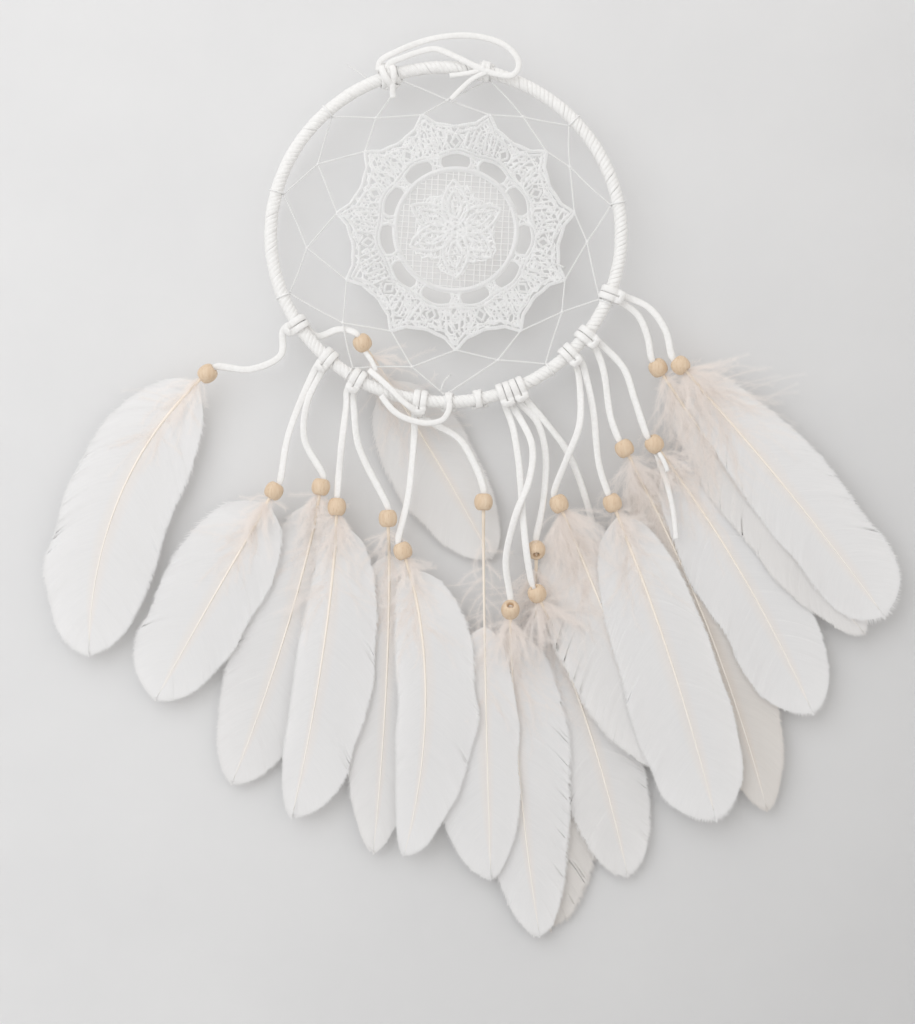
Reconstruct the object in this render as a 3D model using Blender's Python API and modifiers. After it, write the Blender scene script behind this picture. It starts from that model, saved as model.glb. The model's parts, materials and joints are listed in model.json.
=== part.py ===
"""A white dream catcher, built as its separate pieces.

A metal ring is wrapped in faux-suede lace.  A thread web inside it carries a
crochet doily.  Nine lace cords hang from lark's head knots on the ring, and
each of their eighteen tails ends in a wooden bead that holds a goose feather.
A lace loop at the top hangs it up.

Frame: metres, +Z up, origin where a hook bears, on the inner face of the far
end of the hanging loop.  The front faces -Y and +X is its right-hand side seen
from the front.  All sizes and places below are in millimetres and degrees, and
are measured from the middle of the hoop, which is an empty of its own.
"""
import math
from collections import namedtuple

import bmesh
import bpy
from mathutils import Matrix, Vector

MM = 0.001
GAP = 0.3
WELD_DISTANCE = 1e-6

# hoop: a metal ring pulled slightly oval by the web, and its lace wrap
HOOP_HALF_WIDTH = 79.0
HOOP_HALF_HEIGHT = 75.5
RING_RADIUS = 1.3
WRAP_INNER_RADIUS = RING_RADIUS + GAP
WRAP_RADIUS = 2.85
WRAP_SEAM_ANGLE = 96.0
WRAP_SEAM_DEGREES = 0.6
HOOP_STEPS = 64

# lace cords
LACE_RADIUS = 1.25
KNOT_RADIUS = WRAP_RADIUS + GAP + LACE_RADIUS
STRAND_OFFSET = 1.6
KNOT_START, KNOT_END = 62.0, 318.0
KNOT_STEP = 32.0
BAR_BEND = 0.5
BAR_OUT, BAR_FRONT = 4.9, -3.6
TAIL_OUT, TAIL_BACK = 7.2, 2.2
ROUTE_STEP = 7.0

# hanging loop
LOOP_KNOT_ANGLE = 109.2
LOOP_KNOT_TURNS, LOOP_KNOT_STEPS = 2, 12
LOOP_PIVOT_OUT = 8.5
LOOP_FAR_END = 6
LOOP_WIDTH = 2.6
LOOP_THICKNESS = 1.6
LOOP_DEPTH = -5.2

# web and doily
THREAD_RADIUS = 0.4
LINK_RADIUS = 0.36
WEB_POINTS = 11
WEB_START_ANGLE = 135.5
WEB_HITCH_INSET = KNOT_RADIUS + LACE_RADIUS + GAP + THREAD_RADIUS
WEB_JUNCTION_RADIUS = 63.0
WEB_LINK_END = 55.6
DOILY_CENTRE = (4.4, 2.1)
DOILY_TIP_RADIUS = 54.0
DOILY_VALLEY_RADIUS = 46.0
DOILY_RING_RADIUS = 28.6
DOILY_BAND_RADIUS = 34.0
DOILY_THICKNESS = 0.8
# share of the way from tip to tip, share of the way from valley to tip
SCALLOP = ((0.0, 1.0), (0.12, 0.42), (0.3, 0.1), (0.5, 0.0), (0.7, 0.1), (0.88, 0.42))
# share of the way from tip to tip, share of the way from ring to band
WINDOW = ((0.18, 0.0), (0.5, 0.0), (0.82, 0.0), (0.74, 0.7), (0.5, 1.0), (0.26, 0.7))

# wooden beads
BEAD_RADIUS = 4.2
BEAD_LENGTH = 7.6
BEAD_BORE_RADIUS = 1.9
BEAD_FACE_RADIUS = 2.7
BEAD_SHOULDER_RADIUS = 3.75
BEAD_SHOULDER_SHARE = 0.62
BEAD_STEPS = 14
SEAM_MERGE = 0.00001

# feathers: each lies in its own layer behind the beads
FIRST_LAYER = 5.0
LAYER_PITCH = 1.4
QUILL_RADIUS = 0.8
QUILL_START = -1.5
QUILL_TAPER = 0.7
QUILL_FLATNESS = 0.5
QUILL_WIDTH = 0.85
LAYER_START = 4.0
LAYER_REACHED = 22.0
QUILL_STATIONS = (0.0, 5.0, 10.0, 16.0, LAYER_REACHED)
VANE_STEPS = 8
BEND_POWER = 0.75
EDGE_HALF_THICKNESS = 0.15
WIDEST_AT = 0.38
TIP_POWER = 2.6
TIP_ROUNDNESS = 0.6

# lark's head knots, as angles round the hoop from +X
KNOT_ANGLES = {
    "cord_1": 212.4, "cord_2": 227.8, "cord_3": 239.7,
    "cord_4": 261.6, "cord_5": 289.6, "cord_6": 294.2,
    "cord_7": 314.6, "cord_8": 322.8, "cord_9": 339.3,
}

# bead middle x, depth, z; tail route as x, depth, z between knot and bead;
# feather lean from straight down, bend, length, vane half widths, bare quill
Pendant = namedtuple("Pendant", "bead route lean bend length left right bare layer")
# an empty that pieces are parented to, and its place in the hoop's frame
Home = namedtuple("Home", "empty point")

PENDANTS = {
    1: Pendant((-107.3, 0, -62.5), ((-74.7, 1.5, -54.5), (-88.2, 0.5, -60.6)),
               -55, 55, 144, 25, 27, 10, 1),
    2: Pendant((-77.4, 0, -115.3), ((-66.3, 1, -77.0), (-71.5, 0, -92.4)),
               -31, 2, 110, 26, 20, 12, 2),
    3: Pendant((-56.3, 0, -113.5), ((-62.6, 1, -76.0), (-63.6, 0, -92.4)),
               -10, -12, 142, 20, 22, 12, 4),
    4: Pendant((-49.1, 0, -122.5), ((-44.9, 1, -77.0), (-47.0, 0, -95.0)),
               -2, -11, 143, 6, 25, 12, 1),
    5: Pendant((-37.6, 0, -48.7), ((-58.0, 4.8, -45.4), (-48.5, 2.6, -42.4)),
               35, -7, 114, 18, 12, 30, 5),
    6: Pendant((-26.1, 0, -127.7), ((-41.4, 1, -79.0), (-38.7, 0, -96.9)),
               2, -8, 153, 16, 9, 26, 3),
    7: Pendant((-19.4, 0, -142.3), ((-14.4, 1, -92.4), (-17.0, 0, -118.0)),
               21, -36, 141, 6, 18, 14, 0),
    8: Pendant((16.9, 0, -120.3), ((-4.5, 1, -85.6), (6.4, 0, -92.4), (13.6, 0, -105.0)),
               0, 2, 172, 20, 7, 76, 2),
    9: Pendant((29.0, 0, -168.8), ((38.4, -4.6, -94.0), (37.4, -5.4, -110.0),
                                   (31.1, -5.2, -126.6), (26.9, -2.5, -146.0)),
               0, 9, 151, 17, 17, 22, 4),
    10: Pendant((40.7, 2, -141.9), ((41.5, 2.2, -85.0), (45.0, 1.8, -100.0), (43.9, 2, -120.0)),
                0, 4, 175, 13, 13, 40, 6),
    11: Pendant((41.0, 0, -161.5), ((30.4, 0, -88.0), (33.0, -1.6, -105.0),
                                    (34.6, -2.8, -128.0), (36.2, -2.8, -143.0)),
                26, -14, 137, 15, 16, 12, 5),
    12: Pendant((50.9, 0, -121.1), ((60.5, -1.8, -74.4), (59.6, -3.4, -87.0), (54.2, -2.6, -101.0)),
                24, -4, 130, 12, 18, 22, 1),
    13: Pendant((74.9, 0, -120.7), ((66.2, 1, -78.4), (68.6, 0, -102.0)),
                24, -10, 152, 26, 21, 10, 0),
    14: Pendant((80.3, 0, -96.2), ((71.2, 1.5, -62.0), (73.8, 0.5, -80.7)),
                31, -16, 178, 18, 15, 18, 3),
    15: Pendant((93.8, 0, -94.2), ((80.0, 1.5, -60.0), (85.0, 0.5, -74.4)),
                40, -16, 143, 22, 21, 17, 2),
    16: Pendant((95.6, 1.6, -59.8), ((87.0, 2, -36.8), (91.0, 1.8, -46.6)),
                34, 7, 154, 8, 16, 24, 1),
    17: Pendant((105.4, -1.6, -58.9), ((91.5, 0.5, -33.0), (98.6, -1, -43.0)),
                44, -8, 147, 14, 20, 14, 0),
    18: Pendant((69.3, 11.8, -139.6), ((45.5, 2.6, -85.0), (55.6, 3.4, -99.0), (63.4, 7.6, -119.0)),
                20, -8, 100, 15, 15, 14, 7),
}

# two cords share one doubled knot and swing as one
DOUBLED_CORDS = ("cord_5", "cord_6")
# which tails each cord carries: on its left strand, on its right strand
CORD_TAILS = {
    "cord_1": (1, 5), "cord_2": (2, 3), "cord_3": (4, 6),
    "cord_4": (7, 8), "cord_5": (11, 9), "cord_6": (10, 18),
    "cord_7": (12, 13), "cord_8": (14, 15), "cord_9": (16, 17),
}
# this tail leaves its knot on the inside of the hoop
INNER_TAIL = 5
INNER_KNOT_START = 128.0

# outline of the flopped loop's middle line, knot end first
LOOP_ROUTE = (
    (-22.6, 81.2), (-13.0, 85.2), (-2.0, 88.0), (10.5, 88.6), (21.0, 86.6),
    (28.0, 83.0), (32.2, 77.8), (32.2, 73.4), (29.0, 70.6), (22.0, 71.4),
    (14.0, 74.4), (5.0, 78.8), (-4.5, 82.6), (-13.0, 81.0), (-19.5, 78.6),
)


# ---------------------------------------------------------------- scene

def clear_scene():
    for old in list(bpy.data.objects):
        bpy.data.objects.remove(old, do_unlink=True)


def make_collection(name):
    group = bpy.data.collections.new(name)
    bpy.context.scene.collection.children.link(group)
    return group


def plain_material(name, colour, roughness, metallic=0.0):
    material = bpy.data.materials.new(name)
    material.use_nodes = True
    shader = material.node_tree.nodes["Principled BSDF"]
    shader.inputs["Base Color"].default_value = (*colour, 1.0)
    shader.inputs["Roughness"].default_value = roughness
    shader.inputs["Metallic"].default_value = metallic
    return material


def make_home(name, point, parent, group):
    """An empty at a point of the hoop's frame, for pieces that stand or turn there."""
    empty = bpy.data.objects.new(name, None)
    group.objects.link(empty)
    if parent:
        empty.parent = parent.empty
        empty.location = (point - parent.point) * MM
    else:
        empty.location = -hanging_point() * MM
    return Home(empty, point)


def add_object(name, data, material, home, group):
    """Links a piece drawn in the hoop's frame to its home, which becomes its origin."""
    data.transform(Matrix.Translation(-home.point * MM))
    piece = bpy.data.objects.new(name, data)
    data.materials.append(material)
    group.objects.link(piece)
    piece.parent = home.empty
    return piece


# ------------------------------------------------------------- geometry

def hoop_point(angle):
    """Point of the hoop's centre line at an angle in degrees."""
    turn = math.radians(angle)
    return Vector((HOOP_HALF_WIDTH * math.cos(turn), 0.0, HOOP_HALF_HEIGHT * math.sin(turn)))


def hoop_outward(angle):
    """Unit vector pointing straight out of the oval at that angle."""
    turn = math.radians(angle)
    out = Vector((math.cos(turn) / HOOP_HALF_WIDTH, 0.0, math.sin(turn) / HOOP_HALF_HEIGHT))
    return out.normalized()


def hoop_along(angle):
    """Unit vector along the hoop, in the direction of a growing angle."""
    out = hoop_outward(angle)
    return Vector((-out.z, 0.0, out.x))


def smooth_route(points, step):
    """Points at about the given spacing on a Catmull-Rom curve through points."""
    route = []
    last = len(points) - 1
    for index in range(last):
        before = points[max(index - 1, 0)]
        start, end = points[index], points[index + 1]
        after = points[min(index + 2, last)]
        count = max(1, round((end - start).length / step))
        for part in range(count):
            t = part / count
            route.append(0.5 * (2 * start + (end - before) * t
                                + (2 * before - 5 * start + 4 * end - after) * t ** 2
                                + (3 * start - before - 3 * end + after) * t ** 3))
    route.append(points[last])
    return route


def tube_curve(name, points, radius, closed=False, caps=True, resolution=1):
    """A round tube through points in millimetres, as a poly curve."""
    curve = bpy.data.curves.new(name, "CURVE")
    curve.dimensions = "3D"
    curve.bevel_depth = radius * MM
    curve.bevel_resolution = resolution
    curve.use_fill_caps = caps
    spline = curve.splines.new("POLY")
    spline.points.add(len(points) - 1)
    for target, point in zip(spline.points, points):
        target.co = (*(point * MM), 1.0)
    spline.use_cyclic_u = closed
    spline.use_smooth = True
    return curve


def flat_outline(name, outlines, thickness):
    """A flat plate with holes: the first outline is its rim."""
    curve = bpy.data.curves.new(name, "CURVE")
    curve.dimensions = "2D"
    curve.fill_mode = "BOTH"
    curve.extrude = thickness * MM / 2
    for outline in outlines:
        spline = curve.splines.new("POLY")
        spline.points.add(len(outline) - 1)
        for target, (x, z) in zip(spline.points, outline):
            target.co = (x * MM, z * MM, 0.0, 1.0)
        spline.use_cyclic_u = True
    return curve


def upright_plate(name, outlines, thickness, depth, material, home, group):
    """A flat plate standing in the hoop's plane; its outlines are x, z points."""
    across, up = home.point.x, home.point.z
    moved = [[(x - across, z - up) for x, z in outline] for outline in outlines]
    plate = bpy.data.objects.new(name, flat_outline(name, moved, thickness))
    plate.data.materials.append(material)
    group.objects.link(plate)
    plate.parent = home.empty
    plate.rotation_euler = (math.pi / 2, 0.0, 0.0)
    plate.location = (0.0, (depth - home.point.y) * MM, 0.0)
    return plate


def mesh_from_curve(name, curve, group):
    """Turn a curve into a welded mesh object and remove the curve."""
    guide = bpy.data.objects.new(name + "_guide", curve)
    group.objects.link(guide)
    depsgraph = bpy.context.evaluated_depsgraph_get()
    mesh = bpy.data.meshes.new_from_object(guide.evaluated_get(depsgraph))
    bpy.data.objects.remove(guide, do_unlink=True)
    shape = bmesh.new()
    shape.from_mesh(mesh)
    bmesh.ops.remove_doubles(shape, verts=shape.verts, dist=WELD_DISTANCE)
    bmesh.ops.recalc_face_normals(shape, faces=shape.faces)
    shape.to_mesh(mesh)
    shape.free()
    return mesh


# ----------------------------------------------------------------- hoop

def hoop_ring(material, home, group):
    points = [hoop_point(360.0 * step / HOOP_STEPS) for step in range(HOOP_STEPS)]
    curve = tube_curve("hoop_ring", points, RING_RADIUS, closed=True, caps=False)
    return add_object("hoop_ring", curve, material, home, group)


def hoop_wrap(material, home, group):
    """The lace wound round the ring, as a sleeve with an open seam."""
    sweep = 360.0 - WRAP_SEAM_DEGREES
    start = WRAP_SEAM_ANGLE + WRAP_SEAM_DEGREES / 2
    points = [hoop_point(start + sweep * step / HOOP_STEPS) for step in range(HOOP_STEPS + 1)]
    curve = tube_curve("hoop_wrap", points, WRAP_RADIUS, caps=False, resolution=2)
    wrap = add_object("hoop_wrap", curve, material, home, group)
    shell = wrap.modifiers.new("lace_thickness", "SOLIDIFY")
    shell.thickness = (WRAP_RADIUS - WRAP_INNER_RADIUS) * MM
    shell.offset = -1.0
    return wrap


def knot_arc(angle, side, first, last):
    """Part of a strand going round the hoop, from behind it over to the front."""
    middle = hoop_point(angle) + hoop_along(angle) * side
    out, back = hoop_outward(angle), Vector((0.0, 1.0, 0.0))
    count = round((last - first) / KNOT_STEP)
    points = []
    for step in range(count + 1):
        turn = math.radians(first + (last - first) * step / count)
        points.append(middle + KNOT_RADIUS * (out * math.cos(turn) + back * math.sin(turn)))
    return points


def hanging_knot(material, home, group):
    """Two turns of lace round the hoop that hold the hanging loop."""
    pitch = 2.0 * STRAND_OFFSET
    angle = LOOP_KNOT_ANGLE
    out, back = hoop_outward(angle), Vector((0.0, 1.0, 0.0))
    points = []
    for step in range(LOOP_KNOT_TURNS * LOOP_KNOT_STEPS + 1):
        progress = step / LOOP_KNOT_STEPS
        side = pitch * (progress - LOOP_KNOT_TURNS / 2)
        turn = 2.0 * math.pi * progress
        radial = out * math.cos(turn) + back * math.sin(turn)
        points.append(hoop_point(angle) + hoop_along(angle) * side + radial * KNOT_RADIUS)
    curve = tube_curve("loop_knot", points, LACE_RADIUS)
    return add_object("loop_knot", curve, material, home, group)


def loop_edges():
    """Left and right edge of the hanging loop's ribbon, as x, z points."""
    middle = [Vector((x, 0.0, z)) for x, z in LOOP_ROUTE]
    left, right = [], []
    for index, point in enumerate(middle):
        before = middle[max(index - 1, 0)]
        after = middle[min(index + 1, len(middle) - 1)]
        along = (after - before).normalized()
        side = Vector((-along.z, 0.0, along.x)) * LOOP_WIDTH / 2
        left.append((point.x + side.x, point.z + side.z))
        right.append((point.x - side.x, point.z - side.z))
    return left, right


def hanging_point():
    """Middle of the inner face at the loop's far end, where it bears on a hook."""
    inner = loop_edges()[1]
    (start_x, start_z), (end_x, end_z) = inner[LOOP_FAR_END], inner[LOOP_FAR_END + 1]
    return Vector(((start_x + end_x) / 2, LOOP_DEPTH, (start_z + end_z) / 2))


def loop_pivot():
    """Where the loop leaves its knot and folds over."""
    return hoop_point(LOOP_KNOT_ANGLE) + hoop_outward(LOOP_KNOT_ANGLE) * LOOP_PIVOT_OUT


def hanging_loop(material, home, group):
    """A flat lace ribbon that folds over the top of the hoop at rest."""
    left, right = loop_edges()
    return upright_plate("hanging_loop", [left + right[::-1]], LOOP_THICKNESS, LOOP_DEPTH,
                         material, home, group)


# -------------------------------------------------------- web and doily

def web_thread(material, home, group):
    """A zigzag of thread round the hoop with a link in to each doily tip."""
    corners = []
    links = []
    for index in range(WEB_POINTS):
        angle = WEB_START_ANGLE + 360.0 * index / WEB_POINTS
        corners.append(hoop_point(angle) - hoop_outward(angle) * WEB_HITCH_INSET)
        turn = math.radians(angle + 180.0 / WEB_POINTS)
        inward = Vector((math.cos(turn), 0.0, math.sin(turn)))
        junction = inward * WEB_JUNCTION_RADIUS
        corners.append(junction)
        tip = math.radians(doily_tip_angle(angle + 180.0 / WEB_POINTS))
        toward = Vector((math.cos(tip), 0.0, math.sin(tip)))
        centre = Vector((DOILY_CENTRE[0], 0.0, DOILY_CENTRE[1]))
        links.append((junction, centre + toward * WEB_LINK_END))
    ring = tube_curve("web_thread", corners, THREAD_RADIUS, closed=True, caps=False)
    web = mesh_from_curve("web_thread", ring, group)
    web_piece = add_object("web_thread", web, material, home, group)
    for start, end in links:
        link = tube_curve("web_link", [start, end], LINK_RADIUS)
        mesh = mesh_from_curve("web_link", link, group)
        join_mesh(web_piece, mesh, group)
    return web_piece


def join_mesh(target, mesh, group):
    """Boolean-union a closed mesh into the target object's own mesh."""
    tool = bpy.data.objects.new("join_tool", mesh)
    group.objects.link(tool)
    tool.parent = target.parent
    union = target.modifiers.new("join", "BOOLEAN")
    union.operation = "UNION"
    union.solver = "EXACT"
    union.object = tool
    depsgraph = bpy.context.evaluated_depsgraph_get()
    joined = bpy.data.meshes.new_from_object(target.evaluated_get(depsgraph))
    target.modifiers.remove(union)
    target.data = joined
    bpy.data.objects.remove(tool, do_unlink=True)


def doily_tip_angle(angle):
    """Angle of the doily tip nearest to an angle; one tip points straight down."""
    spacing = 360.0 / WEB_POINTS
    return -90.0 + spacing * round((angle + 90.0) / spacing)


def doily(material, home, group):
    """The crochet star: eleven points, eleven windows round a middle disc."""
    spacing = 360.0 / WEB_POINTS
    rim = []
    windows = []
    for index in range(WEB_POINTS):
        start = -90.0 + spacing * index
        rim += [doily_point(start + spacing * share, DOILY_VALLEY_RADIUS, DOILY_TIP_RADIUS, rise)
                for share, rise in SCALLOP]
        windows.append([doily_point(start + spacing * share, DOILY_RING_RADIUS, DOILY_BAND_RADIUS, rise)
                        for share, rise in WINDOW])
    return upright_plate("doily", [rim] + windows, DOILY_THICKNESS, 0.0, material, home, group)


def doily_point(angle, low, high, rise):
    """An x, z point of the doily at an angle, part of the way between two radii."""
    turn = math.radians(angle)
    radius = low + (high - low) * rise
    return (DOILY_CENTRE[0] + radius * math.cos(turn), DOILY_CENTRE[1] + radius * math.sin(turn))


# ---------------------------------------------------------------- cords

def bead_axis(pendant):
    """Unit vector through the bead's bore, from its cord to its feather."""
    lean = math.radians(pendant.lean)
    return Vector((math.sin(lean), 0.0, -math.cos(lean)))


def cord_end(pendant):
    """Where a tail meets its bead; the bead and feather swing about it."""
    return Vector(pendant.bead) - bead_axis(pendant) * (BEAD_LENGTH / 2 + GAP)


def tail_points(cord, number, side):
    """A tail from its bead up to its knot, behind the knot's front bar."""
    pendant = PENDANTS[number]
    angle = KNOT_ANGLES[cord]
    route = [cord_end(pendant)]
    route += [Vector(point) for point in reversed(pendant.route)]
    if number != INNER_TAIL:
        leave = hoop_point(angle) + hoop_along(angle) * side
        route.append(leave + hoop_outward(angle) * TAIL_OUT + Vector((0.0, TAIL_BACK, 0.0)))
    return smooth_route(route, ROUTE_STEP)


def cord_pivot(name):
    """Point of the hoop's centre line about whose tangent a cord swings."""
    names = DOUBLED_CORDS if name in DOUBLED_CORDS else (name,)
    return hoop_point(sum(KNOT_ANGLES[each] for each in names) / len(names))


def cord(name, material, home, group):
    """One lace folded in half: a tail, round the hoop, the bar, and back."""
    left, right = CORD_TAILS[name]
    angle = KNOT_ANGLES[name]
    right_start = INNER_KNOT_START if right == INNER_TAIL else KNOT_START
    bar = hoop_point(angle) + hoop_outward(angle) * BAR_OUT + Vector((0.0, BAR_FRONT, 0.0))
    bar_side = hoop_along(angle) * STRAND_OFFSET * BAR_BEND
    points = tail_points(name, left, -STRAND_OFFSET)
    points += knot_arc(angle, -STRAND_OFFSET, KNOT_START, KNOT_END)
    points += [bar - bar_side, bar + bar_side]
    points += knot_arc(angle, STRAND_OFFSET, right_start, KNOT_END)[::-1]
    points += tail_points(name, right, STRAND_OFFSET)[::-1]
    curve = tube_curve(name, points, LACE_RADIUS)
    return add_object(name, curve, material, home, group)


# ------------------------------------------------------ beads, feathers

def bead_mesh():
    """Half section of a round bead with a straight bore, ready to turn."""
    half = BEAD_LENGTH / 2
    shoulder = half * BEAD_SHOULDER_SHARE
    belly = [(BEAD_FACE_RADIUS, half), (BEAD_SHOULDER_RADIUS, shoulder), (BEAD_RADIUS, 0.0),
             (BEAD_SHOULDER_RADIUS, -shoulder), (BEAD_FACE_RADIUS, -half)]
    bore = [(BEAD_BORE_RADIUS, -half), (BEAD_BORE_RADIUS, half)]
    mesh = bpy.data.meshes.new("bead_section")
    section = bmesh.new()
    ring = [section.verts.new((radius * MM, 0.0, height * MM)) for radius, height in belly + bore]
    for index, vertex in enumerate(ring):
        section.edges.new((vertex, ring[(index + 1) % len(ring)]))
    section.to_mesh(mesh)
    section.free()
    return mesh


def bead(number, mesh, home, group):
    pendant = PENDANTS[number]
    piece = bpy.data.objects.new("bead_%02d" % number, mesh)
    group.objects.link(piece)
    piece.parent = home.empty
    turned = piece.modifiers.new("turned", "SCREW")
    turned.steps = BEAD_STEPS
    turned.render_steps = BEAD_STEPS
    turned.use_merge_vertices = True
    turned.merge_threshold = SEAM_MERGE
    turned.use_smooth_shade = True
    piece.location = (Vector(pendant.bead) - home.point) * MM
    piece.rotation_euler = (0.0, -math.radians(pendant.lean), 0.0)
    return piece


def lean_at(distance, pendant):
    """How far the shaft leans from straight down at a distance along it."""
    return math.radians(pendant.lean + pendant.bend * (distance / pendant.length) ** BEND_POWER)


def feather_middle_line(pendant):
    """Distance along the shaft, point, and sideways direction at each station."""
    vane = pendant.length - LAYER_REACHED
    stations = list(QUILL_STATIONS)
    stations += [LAYER_REACHED + vane * step / VANE_STEPS for step in range(1, VANE_STEPS + 1)]
    layer_depth = FIRST_LAYER + LAYER_PITCH * pendant.layer
    point = Vector(pendant.bead) + bead_axis(pendant) * QUILL_START
    line = []
    reached = 0.0
    for distance in stations:
        strides = math.ceil(distance - reached)
        for step in range(strides):
            stride = (distance - reached) / strides
            lean = lean_at(reached + stride * (step + 0.5), pendant)
            point = point + Vector((math.sin(lean), 0.0, -math.cos(lean))) * stride
        reached = distance
        lean = lean_at(distance, pendant)
        share = min(max((distance - LAYER_START) / (LAYER_REACHED - LAYER_START), 0.0), 1.0)
        depth = pendant.bead[1] + (layer_depth - pendant.bead[1]) * share * share * (3 - 2 * share)
        sideways = Vector((math.cos(lean), 0.0, math.sin(lean)))
        line.append((distance, Vector((point.x, depth, point.z)), sideways))
    return line


def vane_share(distance, pendant):
    """Share of the full vane width at a distance along the shaft."""
    along = (distance - pendant.bare) / (pendant.length - pendant.bare)
    if along <= 0.0:
        return 0.0
    if along < WIDEST_AT:
        return math.sqrt(1.0 - (1.0 - along / WIDEST_AT) ** 2)
    falling = ((along - WIDEST_AT) / (1.0 - WIDEST_AT)) ** TIP_POWER
    return max(0.0, 1.0 - falling) ** TIP_ROUNDNESS


def feather_section(distance, pendant):
    """Corners of the feather's cross-section, as sideways and depth offsets."""
    quill = QUILL_RADIUS * (1.0 - QUILL_TAPER * distance / pendant.length)
    share = vane_share(distance, pendant)
    edge = EDGE_HALF_THICKNESS if share > 0.0 else quill * QUILL_FLATNESS
    left = max(pendant.left * share, quill * QUILL_WIDTH)
    right = max(pendant.right * share, quill * QUILL_WIDTH)
    return ((-left, -edge), (0.0, -quill), (right, -edge), (right, edge), (0.0, quill), (-left, edge))


def feather(number, material, home, group):
    """A thin vane along a tapering shaft that starts as a round quill."""
    pendant = PENDANTS[number]
    shape = bmesh.new()
    rings = []
    for distance, point, sideways in feather_middle_line(pendant):
        ring = []
        for across, depth in feather_section(distance, pendant):
            corner = point + sideways * across + Vector((0.0, depth, 0.0))
            ring.append(shape.verts.new(corner * MM))
        rings.append(ring)
    for upper, lower in zip(rings, rings[1:]):
        for index in range(len(upper)):
            following = (index + 1) % len(upper)
            shape.faces.new((upper[index], upper[following], lower[following], lower[index]))
    shape.faces.new(rings[0][::-1])
    shape.faces.new(rings[-1])
    bmesh.ops.recalc_face_normals(shape, faces=shape.faces)
    mesh = bpy.data.meshes.new("feather_%02d" % number)
    shape.to_mesh(mesh)
    shape.free()
    return add_object("feather_%02d" % number, mesh, material, home, group)


# ----------------------------------------------------------------- whole

def build():
    clear_scene()
    group = make_collection("dream_catcher")
    metal = plain_material("ring_metal", (0.55, 0.54, 0.52), 0.4, 1.0)
    lace = plain_material("suede_lace", (0.86, 0.85, 0.83), 0.85)
    thread = plain_material("web_thread", (0.88, 0.88, 0.87), 0.5)
    crochet = plain_material("crochet_cotton", (0.88, 0.87, 0.85), 0.8)
    wood = plain_material("bead_wood", (0.72, 0.56, 0.40), 0.5)
    plume = plain_material("feather_white", (0.90, 0.89, 0.87), 0.6)
    hoop = make_home("hoop_middle", Vector((0.0, 0.0, 0.0)), None, group)
    hoop_ring(metal, hoop, group)
    hoop_wrap(lace, hoop, group)
    hanging_knot(lace, hoop, group)
    hanging_loop(lace, make_home("loop_pivot", loop_pivot(), hoop, group), group)
    web_thread(thread, hoop, group)
    doily(crochet, hoop, group)
    turned_section = bead_mesh()
    turned_section.materials.append(wood)
    for name, tails in CORD_TAILS.items():
        swing = make_home(name + "_pivot", cord_pivot(name), hoop, group)
        cord(name, lace, swing, group)
        for number in tails:
            pivot = make_home("pendant_%02d_pivot" % number, cord_end(PENDANTS[number]), swing, group)
            bead(number, turned_section, pivot, group)
            feather(number, plume, pivot, group)


build()
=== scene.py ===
"""Looks of the white dream catcher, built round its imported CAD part.

Lace, thread, crochet, beads and feathers are swept, turned or laid out in
mesh code from the frame's own bodies, joints and boxes.  All lengths are in
millimetres from the middle of the hoop until a piece is made; +X is right,
+Z is up and the viewer stands at -Y.
"""

import json
import math
from collections import namedtuple

import bpy
import numpy as np
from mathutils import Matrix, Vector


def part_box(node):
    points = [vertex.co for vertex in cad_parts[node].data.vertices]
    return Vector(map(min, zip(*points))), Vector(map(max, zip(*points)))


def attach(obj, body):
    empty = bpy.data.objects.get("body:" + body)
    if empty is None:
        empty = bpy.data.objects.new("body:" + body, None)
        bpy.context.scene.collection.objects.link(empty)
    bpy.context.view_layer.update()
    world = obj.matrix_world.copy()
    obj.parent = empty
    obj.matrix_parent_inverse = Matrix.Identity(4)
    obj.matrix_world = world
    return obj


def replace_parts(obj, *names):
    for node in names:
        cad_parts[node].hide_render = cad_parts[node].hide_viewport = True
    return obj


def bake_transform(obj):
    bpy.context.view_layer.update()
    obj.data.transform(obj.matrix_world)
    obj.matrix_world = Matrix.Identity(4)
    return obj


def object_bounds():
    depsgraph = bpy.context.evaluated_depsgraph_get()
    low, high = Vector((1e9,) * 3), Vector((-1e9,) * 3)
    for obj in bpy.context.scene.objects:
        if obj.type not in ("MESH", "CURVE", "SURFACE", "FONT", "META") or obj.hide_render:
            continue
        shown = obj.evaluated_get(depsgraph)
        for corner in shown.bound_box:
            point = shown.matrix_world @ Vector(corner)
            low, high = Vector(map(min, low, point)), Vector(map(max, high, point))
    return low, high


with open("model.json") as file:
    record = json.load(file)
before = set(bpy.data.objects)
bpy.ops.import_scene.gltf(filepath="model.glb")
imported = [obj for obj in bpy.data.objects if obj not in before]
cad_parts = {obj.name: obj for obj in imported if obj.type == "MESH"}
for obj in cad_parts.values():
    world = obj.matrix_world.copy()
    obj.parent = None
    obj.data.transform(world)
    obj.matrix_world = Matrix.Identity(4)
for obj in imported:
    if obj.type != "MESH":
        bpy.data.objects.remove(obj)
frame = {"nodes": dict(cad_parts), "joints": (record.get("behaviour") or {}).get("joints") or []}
cad_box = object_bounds()

MM = 0.001
SEED = 11
FRONT = np.array((0.0, -1.0, 0.0))
BACK = -FRONT


def node_box(name):
    """Lowest and highest corner of a CAD node, in millimetres."""
    low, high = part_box(name)
    return np.array(low) / MM, np.array(high) / MM


def node_middle(name):
    low, high = node_box(name)
    return (low + high) / 2


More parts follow.
